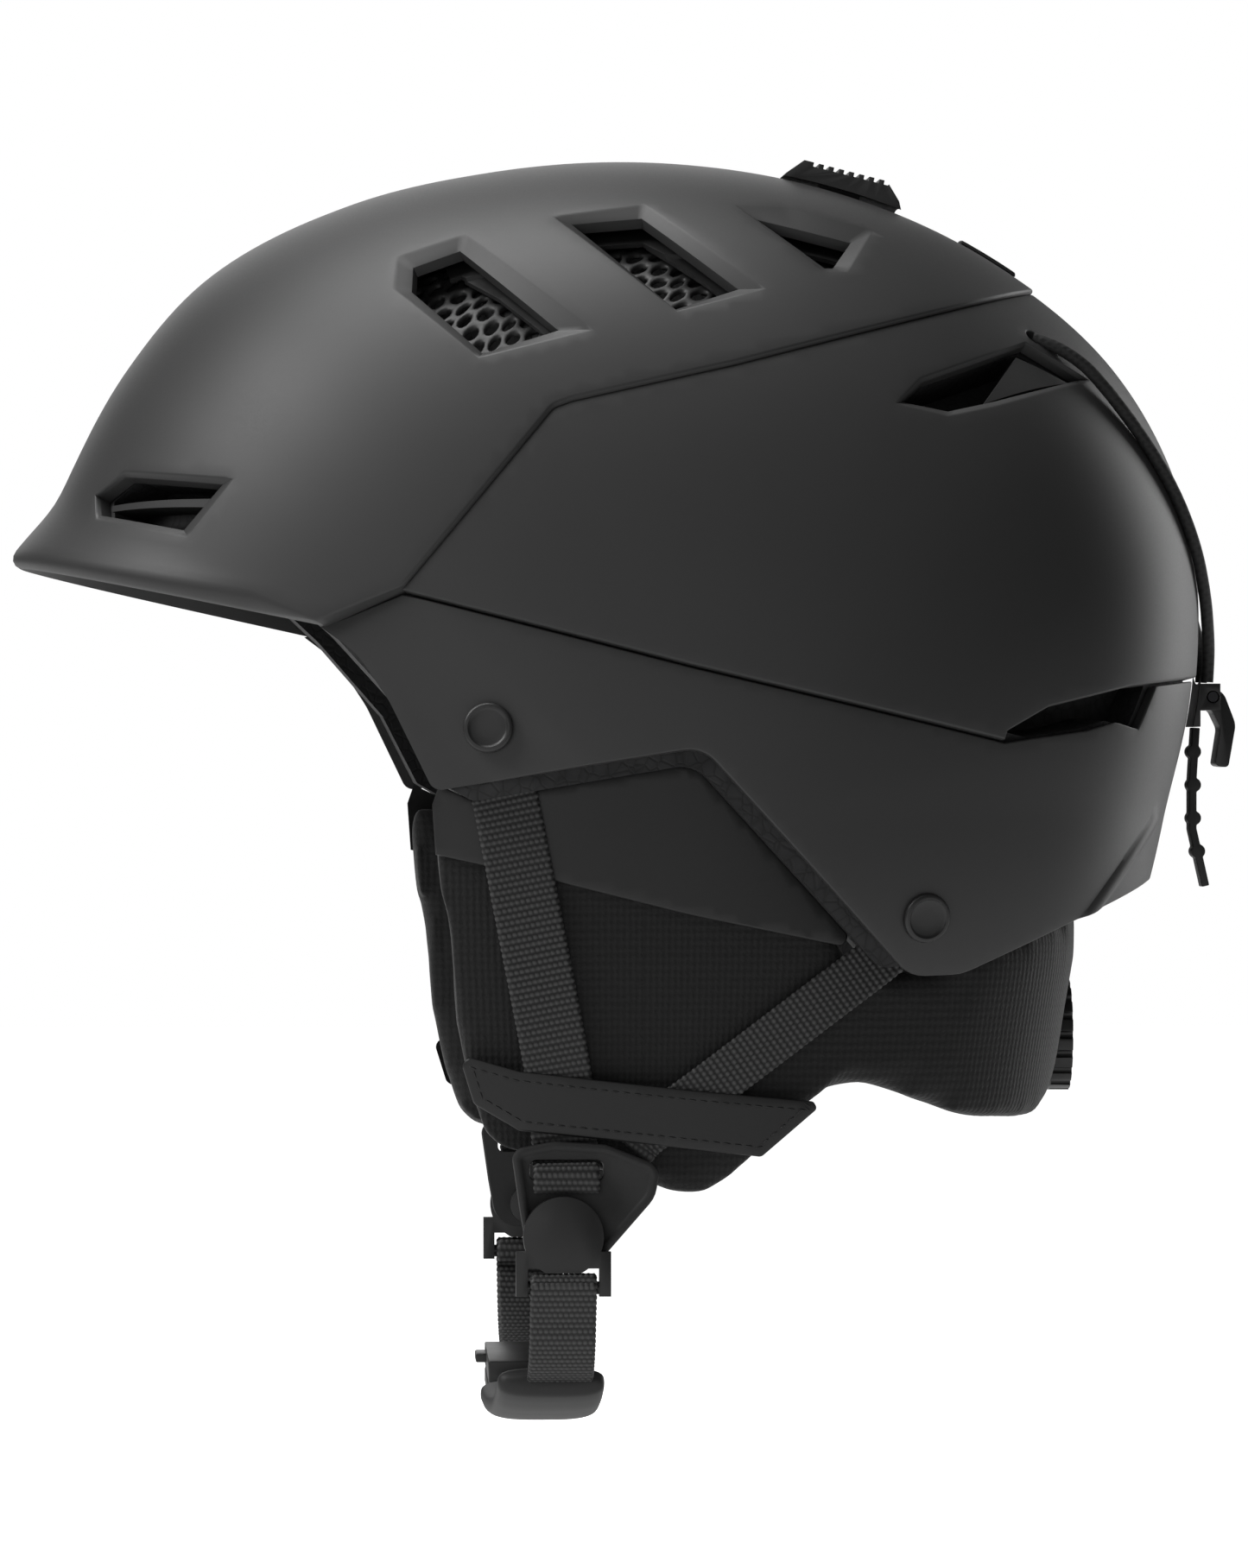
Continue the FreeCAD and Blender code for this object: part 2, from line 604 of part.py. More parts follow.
# Comfort pads and headband inside the cavity
lining = head_dome(pad_gap).cut(head_dome(pad_gap + comfort_pad_thickness))
brow_lining = head_dome(headband_depth[1] + pad_gap).cut(head_dome(headband_depth[1] + pad_gap + 4.5))
save("brow_pad", brow_lining.common(box((-115, -60), (-80, 80), (18, 37))))
save("crown_pad", lining.common(box((-72, 66), (-12, 12), (30, 90))))
save("rear_pad", lining.common(box((50, 115), (-55, 55), (-6, 20))))
for name, y in (("left", (-95, -20)), ("right", (20, 95))):
    save("side_pad_" + name, lining.common(box((-16, 46), y, (0, 34))))
strip = head_dome(headband_depth[0]).cut(head_dome(headband_depth[1]))
save("headband_strip", strip.common(box((-115, -20), (-95, 95), (22, 32))))

# Cradle with the fit dial at the nape
cradle = pad_wall(*cradle_offsets).common(side_prism(cradle_outline))
housing_seat = rod(Vector(70, 0, dial_z), Vector(120, 0, dial_z), dial_radius - 1)
cradle = cradle.cut(housing_seat)
save("fit_cradle", cradle)
housing = rod(Vector(79.5, 0, dial_z), Vector(90, 0, dial_z), dial_radius - 1)
housing = housing.cut(rod(Vector(81.5, 0, dial_z), Vector(91, 0, dial_z), 4.8))
save("dial_housing", housing)
nape = pad_wall(-19.2, -15)
for name, y in (("left", (-70, -16)), ("right", (16, 70))):
    save("cradle_pad_" + name, nape.common(box((35, 100), y, (-100, -78))))

dial = rod(Vector(dial_x[0], 0, dial_z), Vector(dial_x[1], 0, dial_z), dial_radius)
grips = []
grip_count = 18
for i in range(grip_count):
    a = 2 * math.pi * i / grip_count
    middle = Vector(0, dial_radius * math.cos(a), dial_z + dial_radius * math.sin(a))
    grips.append(rod(middle + Vector(dial_x[0] + 2, 0, 0), middle + Vector(dial_x[1] + 1, 0, 0), 1))
pinion_end = Vector(dial_x[0] + 2, 0, dial_z)
save("dial_knob", dial.cut(grips).cut(rod(Vector(dial_x[0] - 1, 0, dial_z), pinion_end, 2)))
pinion = rod(Vector(82, 0, dial_z), Vector(dial_x[0] - 0.2, 0, dial_z), 4.2)
stub = rod(Vector(dial_x[0] - 0.3, 0, dial_z), pinion_end, 1.95)
save("dial_pinion", pinion.fuse(stub))

# Goggle retainer at the back
clip_lugs = [box((127, clip_pin_x + 1.8), (y, y + 2), (-13, -6.6)) for y in (-8.6, 6.6)]
clip_back = box((122, clip_pin_x - 3), (-8.6, 8.6), (-17, -1.9))
clip = clip_back.multiFuse(clip_lugs).cut(shell_dome(-0.2))
pin_ends = [Vector(clip_pin_x, y, clip_pin_z) for y in (-8.4, 8.4)]
clip = clip.cut(rod(pin_ends[0] - Vector(0, 2, 0), pin_ends[1] + Vector(0, 2, 0), 1.5))
save("clip_base", clip)
hook = side_prism(hook_outline, -hook_half_width, hook_half_width)
save("goggle_hook", hook.cut(rod(pin_ends[0], pin_ends[1], 1.2)))
save("hook_pin", rod(pin_ends[0], pin_ends[1], 1.2))
ladder_route = [(128.1, -17.2), (127.3, -30), (127.3, -41.6), (130.4, -55.4)]
ladder = strap([Vector(x, 0, z) for x, z in ladder_route], 7, 1.8, Vector(0, 1, 0))
rungs = [rod(Vector(127.6 + shift, -3.5, z), Vector(127.6 + shift, 3.5, z), 1.7)
         for z, shift in ((-23, 0), (-31, 0), (-39, 0), (-47, 1))]
save("ladder_strap", ladder.multiFuse(rungs))
for name, side in (("left", -1), ("right", 1)):
    tube, radii, length = cord_tube(cord_points(side), cord_diameter)
    expected = length * math.pi * cord_diameter**2 / 4
    print("cord radii", [round(r, 1) for r in radii], "length", round(length, 1),
          "volume ratio", round(tube.Volume / expected, 4))
    save("goggle_cord_" + name, tube)
save("crown_trim", shell_dome(-1.0).cut(shell_dome(-0.1)).common(box((71, 84), (-7, 7), (60, 130))))

# Pivot discs that carry the chin strap
for name, side in (("left", -1), ("right", 1)):
    near = yoke_face_y + 0.5
    disc_ends = sorted((side * near, side * (near + 3)))
    centre = [Vector(pivot[0], y, pivot[1]) for y in disc_ends]
    disc = rod(centre[0], centre[1], pivot_disc_radius)
    frame = box((strap_x - 11, strap_x + 11), disc_ends, (strap_bar_z - 2, -139))
    window = box((strap_x - 8.3, strap_x + 8.3), disc_ends, (strap_bar_z - 4, -142.9))
    bar_start = Vector(strap_x - 10, side * strap_bar_y, strap_bar_z)
    bar_end = Vector(strap_x + 10, side * strap_bar_y, strap_bar_z)
    loop_space = rod(Vector(strap_x - 8.3, side * strap_bar_y, strap_bar_z),
                     Vector(strap_x + 8.3, side * strap_bar_y, strap_bar_z), loop_outer_radius + 0.4)
    inside_yoke = [Vector(pivot[0], side * (yoke_inner_y - depth), pivot[1]) for depth in (2.5, 0.5)]
    boss = rod(inside_yoke[1], Vector(pivot[0], side * near, pivot[1]), 2.8)
    flange = rod(inside_yoke[0], inside_yoke[1], 4.6)
    plate = frame.cut(window).fuse(disc).cut(loop_space)
    save("pivot_disc_" + name, plate.multiFuse([rod(bar_start, bar_end, 1.5), boss, flange]))

# Chin strap: a loop of webbing from the left disc to the buckle, and a short one from the right disc


def bar_loop(side):
    start = Vector(strap_x - strap_width / 2, side * strap_bar_y, strap_bar_z)
    end = start + Vector(strap_width, 0, 0)
    return rod(start, end, loop_outer_radius).cut(rod(start, end, 1.9))


across = Vector(1, 0, 0)
left_points = [Vector(strap_x, -y, z) for y, z in strap_route]
right_points = [Vector(strap_x, y, z) for y, z in reversed(strap_route) if y > 0]
buckle_place = Vector(strap_x, buckle_y, buckle_z)
buckle_along = Vector(0, math.cos(math.radians(buckle_tilt)), math.sin(math.radians(buckle_tilt)))
buckle_up = Vector(1, 0, 0).cross(buckle_along)


def buckle_box(x, t, n):
    """Box in the buckle's frame: t along the strap, n upwards through it."""
    block = box(x, t, n)
    block.rotate(Vector(), Vector(1, 0, 0), buckle_tilt)
    block.translate(buckle_place)
    return block


def buckle_rod(radius, n):
    start = buckle_place + buckle_up * n[0]
    return rod(start, buckle_place + buckle_up * n[1], radius)


male_end = buckle_place - buckle_along * (buckle_length / 2 + 2) - buckle_up * 2.4
near_strap = strap(left_points[:-1] + [left_points[-1], male_end], strap_width, webbing_thickness, across)
save("chin_webbing_left", near_strap.fuse(bar_loop(-1)))

female_end = buckle_place + buckle_along * (buckle_length / 2) + buckle_up * 3
far_points = [female_end] + [p for p in right_points if p.y > female_end.y]
far_strap = strap(far_points, strap_width, webbing_thickness, across).fuse(bar_loop(1))

guard_route = ((-76, -170.8), (-60, -175), (-38, -178), (0, -179.6), (28, -179))
guard_points = [Vector(strap_x - 2, y, z) for y, z in guard_route]
guard = strap(guard_points, 25, 6, across)
channel = strap(left_points[2:] + [male_end], strap_width + 1, webbing_thickness + 0.8, across)
save("chin_guard", guard.cut(channel))

half_width = buckle_width / 2
half_length = buckle_length / 2
female = buckle_box((-half_width, half_width), (-half_length, half_length), (0.4, 5.8))
button_pocket = buckle_box((-half_width - 1, -4.5), (4.5, 11.5), (1.6, 4.6))
female = female.cut([buckle_rod(5.8, (0, 3.8)), button_pocket])
save("buckle_female", female)
save("chin_webbing_right", far_strap.cut(female))
male = buckle_box((-half_width, half_width), (-half_length - 2, half_length), (-4.6, 0))
save("buckle_male", male.fuse(buckle_rod(4, (-1, 3.2))))
save("buckle_button", buckle_box((-half_width - 2.5, -7.6), (5, 11), (2, 4.2)))
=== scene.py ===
import math
import bmesh
import bpy
import numpy as np
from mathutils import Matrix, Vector
from mathutils.geometry import delaunay_2d_cdt
from mathutils.kdtree import KDTree


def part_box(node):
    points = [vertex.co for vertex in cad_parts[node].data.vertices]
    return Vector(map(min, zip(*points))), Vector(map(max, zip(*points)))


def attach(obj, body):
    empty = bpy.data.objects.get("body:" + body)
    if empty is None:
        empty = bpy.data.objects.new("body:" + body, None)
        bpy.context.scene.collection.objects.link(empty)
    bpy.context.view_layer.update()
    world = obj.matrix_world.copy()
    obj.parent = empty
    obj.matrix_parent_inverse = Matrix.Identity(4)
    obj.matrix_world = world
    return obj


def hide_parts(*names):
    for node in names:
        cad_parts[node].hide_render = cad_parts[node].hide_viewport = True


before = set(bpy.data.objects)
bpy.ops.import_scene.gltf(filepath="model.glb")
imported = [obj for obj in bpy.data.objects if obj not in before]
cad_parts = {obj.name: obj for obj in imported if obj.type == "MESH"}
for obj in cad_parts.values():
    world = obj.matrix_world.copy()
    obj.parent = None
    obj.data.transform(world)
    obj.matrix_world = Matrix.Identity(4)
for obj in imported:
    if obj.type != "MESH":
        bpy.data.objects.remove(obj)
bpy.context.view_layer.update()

mm = 0.001
sides = {"left": -1, "right": 1}

# Ski helmet. Shapes are worked out in millimetres: front is -X, the wearer's left is -Y, up is +Z.
# Side-view outlines are (x, z) or (x, z, corner radius) points.

shellShape = {
    "centre": (0, 0, -40),
    "profile": [(-60, 105), (-30, 114), (0, 121.5), (15, 133), (30, 146), (45, 154), (60, 156), (75, 157),
                (90, 158.5), (105, 161.8), (117, 166.5), (130, 170.7), (140, 168.9), (150, 165.6),
                (153, 165.6), (157, 168.8), (162, 173), (180, 172), (210, 150), (240, 120)],
    "halfWidth": 110, "rearWidening": 0.05, "squareness": 1.2,
    "sideRecess": 1.0, "lowerRecess": 2.0, "inside": 4.0, "seamGap": 0.8,
    "pointSpacing": 2.6, "edgeRadius": 0.6, "brimRadius": 3.8, "innerEdgeRadius": 0.5,
    "meanRadius": 150, "covers": 122, "borderClearance": 1.575,  # covers: degrees down from the top
}
domeCentre = np.array(shellShape["centre"], float)

padShape = {  # the ear pad's oval: height, half length and half width, from the top down
    "levels": [(-20, 109, 96), (-72, 108, 93.5), (-135, 97, 86)], "centreX": -10, "exponent": 2.7,
    "meanRadius": 97,
}


def setInputs(tree, node, links):
    for socket, source in links.items():
        if isinstance(source, bpy.types.NodeSocket):
            tree.links.new(source, node.inputs[socket])
        else:
            node.inputs[socket].default_value = source


def addNode(tree, kind, links=None, **settings):
    node = tree.nodes.new(kind)
    for name, value in settings.items():
        setattr(node, name, value)
    setInputs(tree, node, links or {})
    return node


def toLinear(code):
    channels = [int(code[i:i + 2], 16) / 255 for i in (0, 2, 4)]
    return [c / 12.92 if c <= 0.04045 else ((c + 0.055) / 1.055) ** 2.4 for c in channels] + [1]


def addObject(name, data):
    thing = bpy.data.objects.new(name, data)
    bpy.context.scene.collection.objects.link(thing)
    return thing


def shadeSmooth(piece, sharpAngle):
    piece.data.polygons.foreach_set("use_smooth", [True] * len(piece.data.polygons))
    piece.data.set_sharp_from_angle(angle=math.radians(sharpAngle))


def makePiece(name, points, faces, sharpAngle=35):
    mesh = bpy.data.meshes.new(name)
    mesh.from_pydata((np.asarray(points, float) * mm).tolist(), [], faces)
    mesh.validate()
    piece = addObject(name, mesh)
    shadeSmooth(piece, sharpAngle)
    return piece


def faceOutwards(piece):
    shape = bmesh.new()
    shape.from_mesh(piece.data)
    bmesh.ops.recalc_face_normals(shape, faces=shape.faces)
    shape.to_mesh(piece.data)
    shape.free()


def mergedCopy(node, name, flatWithin=0):
    # joins a CAD shape's loose triangles; those flat within so many degrees become one face
    piece = addObject(name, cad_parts[node].data.copy())
    shape = bmesh.new()
    shape.from_mesh(piece.data)
    bmesh.ops.remove_doubles(shape, verts=shape.verts, dist=1e-6)
    if flatWithin:
        bmesh.ops.dissolve_limit(shape, angle_limit=math.radians(flatWithin), verts=shape.verts,
                                 edges=shape.edges)
    shape.to_mesh(piece.data)
    shape.free()
    return piece


def settleModifiers(piece):  # its modifiers become plain mesh, so that nothing stays live
    bpy.context.view_layer.update()
    graph = bpy.context.evaluated_depsgraph_get()
    mesh = bpy.data.meshes.new_from_object(piece.evaluated_get(graph), preserve_all_data_layers=True,
                                           depsgraph=graph)
    piece.modifiers.clear()
    piece.data = mesh


def dress(piece, material, body, slotName, *nodes):
    piece.data.materials.clear()
    piece.data.materials.append(material)
    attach(piece, body)
    if nodes:
        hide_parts(*nodes)
    return piece


def unit(rows):
    return rows / np.linalg.norm(rows, axis=-1, keepdims=True)


def loopArea(loop):  # above 0 where the loop runs anticlockwise
    return (loop[:, 0] * np.roll(loop[:, 1], -1) - np.roll(loop[:, 0], -1) * loop[:, 1]).sum() / 2


def bridge(upper, lower):  # faces between two rings of point numbers
    return np.stack([upper, lower, np.roll(lower, -1), np.roll(upper, -1)], 1).tolist()


def closedPlate(name, front, back, faces, borders, sharpAngle, turned=False):
    # front and back hold the same points, edges first; each border's rings run from front to back
    count = len(front)
    points = [front, back]
    faces = faces + [[count + i for i in reversed(face)] for face in faces]
    first, total = 0, 2 * count
    for rings in borders:
        size = len(rings[0])
        numbers = [first + np.arange(size)]
        for ring in rings:
            points.append(ring)
            numbers.append(total + np.arange(size))
            total += size
        numbers.append(count + first + np.arange(size))
        for upper, lower in zip(numbers, numbers[1:]):
            faces += bridge(upper, lower)
        first += size
    if turned:
        faces = [face[::-1] for face in faces]
    return makePiece(name, np.vstack(points), faces, sharpAngle)


# The camera stands at head height, a little ahead of square to the side.
cameraSet = {"aim": (-9.87, 0.52, -30.78), "turned": 3.0, "distance": 2500, "frameHeight": 377.7}
turned = math.radians(cameraSet["turned"])
forward = Vector((math.sin(turned), math.cos(turned), 0))
cameraData = bpy.data.cameras.new("camera")
cameraData.sensor_fit = "VERTICAL"
cameraData.sensor_height = 36
cameraData.lens = 36 * cameraSet["distance"] / cameraSet["frameHeight"]
cameraData.clip_end = 50
camera = addObject("camera", cameraData)
camera.location = (Vector(cameraSet["aim"]) - forward * cameraSet["distance"]) * mm
camera.rotation_mode = "QUATERNION"
camera.rotation_quaternion = forward.to_track_quat("-Z", "Y")
bpy.context.scene.camera = camera


# The shell, its openings and the cords all follow one dome, and a direction from its centre names a place.

def profileRadius(angle):  # smooth curve through the profile, in degrees and millimetres
    knots = np.array(shellShape["profile"], float)
    turns = np.concatenate([knots[-1:] - (360, 0), knots, knots[:2] + (360, 0)])
    angle = (angle + 60) % 360 - 60
    i = np.clip(np.searchsorted(turns[:, 0], angle) - 1, 1, len(knots))
    before, start, end, after = [turns[i + step] for step in (-1, 0, 1, 2)]
    span = end[:, 0] - start[:, 0]
    slopeStart = (end[:, 1] - before[:, 1]) / (end[:, 0] - before[:, 0])
    slopeEnd = (after[:, 1] - start[:, 1]) / (after[:, 0] - start[:, 0])
    s = (angle - start[:, 0]) / span
    return ((2 * s**3 - 3 * s**2 + 1) * start[:, 1] + (s**3 - 2 * s**2 + s) * span * slopeStart
            + (3 * s**2 - 2 * s**3) * end[:, 1] + (s**3 - s**2) * span * slopeEnd)


def shellRadius(direction):
    inPlane = np.hypot(direction[:, 0], direction[:, 2])
    sideView = profileRadius(np.degrees(np.arctan2(direction[:, 2], direction[:, 0])))
    width = shellShape["halfWidth"] * (1 + shellShape["rearWidening"] * direction[:, 0])
    a = (inPlane / sideView) ** 2
    b = (direction[:, 1] / width) ** 2
    return np.sqrt(2 / (a + b + np.sqrt((a + b) ** 2 - shellShape["squareness"] * a * b)))


def shellPlaces(direction, depth):
    return domeCentre + direction * (shellRadius(direction) - depth)[:, None]


def halfWidthAt(side, depth):  # y of the shell where it is seen at (x, z)
    low, high = np.zeros(len(side)), np.full(len(side), 130.0)
    for _ in range(34):
        y = (low + high) / 2
        ray = np.stack([side[:, 0], y, side[:, 1]], 1) - domeCentre
        length = np.linalg.norm(ray, axis=1)
        inside = length < shellRadius(ray / length[:, None]) - depth
        low, high = np.where(inside, y, low), np.where(inside, high, y)
    return low


def onShell(side, depth=0.0, hand=-1):
    side = np.atleast_2d(np.asarray(side, float))
    return np.stack([side[:, 0], hand * halfWidthAt(side, depth), side[:, 1]], 1)


def flatMap(direction):  # round directions laid flat, with every small shape kept
    return direction[:, :2] / (1 + direction[:, 2:])


def roundedPath(points, closed=False):
    result = []
    for i, point in enumerate(points):
        corner = np.array(point[:2], float)
        radius = point[2] if len(point) > 2 else 0
        if radius == 0:
            result.append(corner)
            continue
        before = unit(np.array(points[i - 1][:2], float) - corner)
        after = unit(np.array(points[(i + 1) % len(points)][:2], float) - corner)
        half = math.acos(before @ after) / 2
        centre = corner + unit(before + after) * radius / math.sin(half)
        start = corner + before * radius / math.tan(half) - centre
        end = corner + after * radius / math.tan(half) - centre
        steps = max(2, round(math.degrees(math.pi - 2 * half) / 12))
        for share in np.linspace(0, 1, steps + 1):
            result.append(centre + unit(start * (1 - share) + end * share) * radius)
    if closed:
        result.append(result[0])
    return np.array(result)


def pathOnShell(points, depth, step=1.9):
    # left half of a line over the shell, cut where the shell's own outline ends it
    corners = roundedPath(points)
    result = []

    def isInside(side):
        x, z = side - domeCentre[[0, 2]]
        return math.hypot(x, z) < profileRadius(np.array([math.degrees(math.atan2(z, x))]))[0] - depth

    for a, b in zip(corners, corners[1:]):
        startIn, endIn = isInside(a), isInside(b)
        if not startIn and not endIn:
            continue
        low, high = 0.0, 1.0
        for _ in range(40):
            middle = (low + high) / 2
            if isInside(a + (b - a) * middle) == startIn:
                low = middle
            else:
                high = middle
        s = np.linspace(0, 1, 240)
        if startIn and endIn:
            share = s
        elif startIn:
            share = low * (1 - (1 - s) ** 2)
        else:
            share = high + (1 - high) * s**2
        fine = onShell(a + (b - a) * share[:, None], depth)
        length = np.concatenate([[0], np.cumsum(np.linalg.norm(np.diff(fine, axis=0), axis=1))])
        count = max(1, round(length[-1] / step))
        for k in range(count):
            result.append([np.interp(length[-1] * k / count, length, fine[:, axis]) for axis in range(3)])
        last = fine[-1]
    result.append(last)
    return np.array(result)


def mirrored(points):
    return points * (1, -1, 1)


def capLoop(path):  # from the front middle over the left to the rear middle, and back over the right
    return np.vstack([path, mirrored(path[-2:0:-1])])


def bandLoop(upper, lower):  # a band round the back, between two lines from front to rear
    return np.vstack([upper, mirrored(upper[-2::-1]), mirrored(lower[1:]), lower[-2:0:-1]])


def facedLoop(loop, isHole):  # the panel lies on the left of its loops
    return loop[::-1] if (loopArea(flatMap(unit(loop - domeCentre))) > 0) == isHole else loop


def intoPanel(loop):
    normal = unit(loop - domeCentre)
    behind = np.cross(normal, unit(loop - np.roll(loop, 1, 0)))
    ahead = np.cross(normal, unit(np.roll(loop, -1, 0) - loop))
    middle = unit(behind + ahead)
    return middle / np.maximum(0.4, (middle * behind).sum(1))[:, None]


def roundedBorder(loop, radius):
    # rings of (direction, drop) from the face over a rounded edge; radius is one for each point
    inward = intoPanel(loop)
    radius = np.broadcast_to(radius, len(loop))
    rings = []
    for inset, drop in ((1, 0), (0.62, 0.08), (0.3, 0.29), (0.08, 0.62), (0, 1)):
        place = loop + inward * (radius * inset)[:, None]
        rings.append((unit(place - domeCentre), radius * drop))
    return rings


def chamferedBorder(outer, inner, drop):
    inward = intoPanel(outer)
    rings = []
    for share, inset, sunk in ((0, 0.5, 0), (0, 0.1, 0.06), (0.12, 0, 0.2), (0.5, 0, 0.57), (0.9, 0, 0.94),
                               (0.98, 0, 1.04), (1, 0, 1.2)):
        place = outer + (inner - outer) * share + inward * inset
        rings.append((unit(place - domeCentre), np.full(len(outer), drop * sunk)))
    return rings


def insideLoops(points, loops):
    inside = np.zeros(len(points), bool)
    for loop in loops:
        following = np.roll(loop, -1, 0)
        for (ax, ay), (bx, by) in zip(loop, following):
            if ay == by:
                continue
            crosses = (points[:, 1] >= min(ay, by)) & (points[:, 1] < max(ay, by))
            inside ^= crosses & (points[:, 0] < ax + (points[:, 1] - ay) / (by - ay) * (bx - ax))
    return inside


def triangles(points, loops):
    # triangles between all points, kept where they lie inside the loops; the loops' points come first
    edges = []
    first = 0
    for loop in loops:
        edges += [(first + i, first + (i + 1) % len(loop)) for i in range(len(loop))]
        first += len(loop)
    _, _, faces, origins, _, _ = delaunay_2d_cdt([Vector(p) for p in points], edges, [], 0, 1e-7)
    faces = np.array([[origins[i][0] for i in face] for face in faces])
    faces = faces[insideLoops(points[faces].mean(1), loops)]
    a, b, c = points[faces[:, 0]], points[faces[:, 1]], points[faces[:, 2]]
    turning = (b[:, 0] - a[:, 0]) * (c[:, 1] - a[:, 1]) - (b[:, 1] - a[:, 1]) * (c[:, 0] - a[:, 0])
    faces[turning < 0] = faces[turning < 0][:, ::-1]
    return faces.tolist()


def spreadDirections():  # about evenly spread over the dome, to below its widest part
    radius, spacing = shellShape["meanRadius"], shellShape["pointSpacing"]
    rows = []
    for i in range(int(math.radians(shellShape["covers"]) * radius / spacing)):
        tilt = i * spacing / radius
        count = max(1, round(2 * math.pi * math.sin(tilt) * radius / spacing))
        turn = 2 * math.pi * (np.arange(count) + 0.5 * (i % 2)) / count
        rows.append(np.stack([math.sin(tilt) * np.cos(turn), math.sin(tilt) * np.sin(turn),
                              np.full(count, math.cos(tilt))], 1))
    return np.vstack(rows)


def shellPanel(name, borders, depthAt, inside, features=np.empty((0, 3))):
    # closed panel from the depth that depthAt gives to the inside depth; features are extra places on it
    loops = [flatMap(rings[0][0]) for rings in borders]
    edge = np.vstack([rings[0][0] for rings in borders])
    features = unit(features - domeCentre)
    tree = KDTree(len(edge) + len(features))
    for i, place in enumerate(np.vstack([edge, features])):
        tree.insert(place, i)
    tree.balance()
    apart = shellShape["borderClearance"] / shellShape["meanRadius"]
    spread = [place for place in spreadDirections() if tree.find(place)[2] > apart]
    interior = np.vstack([features, spread])
    directions = np.vstack([edge, interior[insideLoops(flatMap(interior), loops)]])
    borderRings = []
    for rings in borders:
        places = [shellPlaces(direction, np.minimum(depthAt(direction) + drop, inside - 0.15))
                  for direction, drop in rings[1:]]
        borderRings.append(places + [shellPlaces(rings[-1][0], np.full(len(rings[-1][0]), inside))])
    return closedPlate(name, shellPlaces(directions, depthAt(directions)),
                       shellPlaces(directions, np.full(len(directions), inside)),
                       triangles(flatMap(directions), loops), borderRings, 32)


cordSet = {  # elastic goggle cords
    "diameter": 3.0, "length": 111.0, "eyeletRadius": 2.2, "eyeletEdge": 0.4,
    "route": [(30.5, 49.5, -1.5), (28.5, 46.5, 2.4), (24.5, 40.5, 1.4), (19, 33.5, 1.0), (14.5, 27.5, 1.0),
              (10, 22.8, 1.0), (6, 19.3, 1.5), (3, 16.9, 2.2), (3, 14.5, 2.2)],  # azimuth, elevation, lift
}


def cordPoints(hand):
    azimuth, elevation, lift = np.array(cordSet["route"]).T
    azimuth, elevation = np.radians(azimuth), np.radians(elevation)
    direction = np.stack([np.cos(azimuth) * np.cos(elevation), hand * np.sin(azimuth) * np.cos(elevation),
                          np.sin(elevation)], 1)
    return shellPlaces(direction, -lift)


goggleCords = {}
for sideName, hand in sides.items():
    curve = bpy.data.curves.new("goggle_cord_elastic_" + sideName, "CURVE")
    curve.dimensions = "3D"
    curve.bevel_depth = cordSet["diameter"] / 2 * mm
    curve.bevel_resolution = 4
    curve.resolution_u = 10
    curve.use_fill_caps = True
    route = cordPoints(hand) * mm
    spline = curve.splines.new("NURBS")
    spline.points.add(len(route) - 1)
    for point, place in zip(spline.points, route):
        point.co = (*place, 1)
    spline.order_u = 3
    spline.use_endpoint_u = True
    goggleCords[sideName] = (addObject(curve.name, curve), route[0])
print("camera and cords")


# In a material, a pattern turns the dark colour into the pale one. Relief is a height, a strength and a
# depth in millimetres.

def startMaterial(name):
    material = bpy.data.materials.new(name)
    material.use_nodes = True
    tree = material.node_tree
    return material, tree, addNode(tree, "ShaderNodeTexCoord").outputs["Object"]


def finishMaterial(tree, pattern, dark, pale, values, relief=None):
    shader = tree.nodes["Principled BSDF"]
    tone = addNode(tree, "ShaderNodeMix", {0: pattern, 6: toLinear(dark), 7: toLinear(pale)},
                   data_type="RGBA")
    setInputs(tree, shader, {"Base Color": tone.outputs[2], **values})
    if relief:
        height, strength, depth = relief
        bump = addNode(tree, "ShaderNodeBump", {"Height": height, "Strength": strength,
                                                "Distance": depth * mm})
        setInputs(tree, shader, {"Normal": bump.outputs[0]})


def perMm(size):  # texture scale that makes one feature this many millimetres wide
    return 1000 / size


def mattePaintedAbs():
    # moulded ABS under soft-touch matte paint: even charcoal, wide dim highlights, a dusting of grain
    material, tree, place = startMaterial("mattePaintedAbs")
    cloud = addNode(tree, "ShaderNodeTexNoise", {"Vector": place, "Scale": perMm(45), "Detail": 2.0})
    speck = addNode(tree, "ShaderNodeTexNoise", {"Vector": place, "Scale": perMm(0.5), "Detail": 2.0})
    rough = addNode(tree, "ShaderNodeMapRange", {"Value": speck.outputs[0], 3: 0.46, 4: 0.56})
    finishMaterial(tree, cloud.outputs[0], "2b2b2b", "2f2f2f", {"Roughness": rough.outputs[0], "IOR": 1.5},
                   (speck.outputs[0], 0.12, 0.03))
    return material


def satinPolycarbonate():
    # moulded polycarbonate straight from the tool: darker and a little shinier than the painted shell
    material, tree, place = startMaterial("satinPolycarbonate")
    grain = addNode(tree, "ShaderNodeTexNoise", {"Vector": place, "Scale": perMm(0.4), "Detail": 1.0})
    finishMaterial(tree, grain.outputs[0], "202020", "262626", {"Roughness": 0.42},
                   (grain.outputs[0], 0.15, 0.03))
    return material


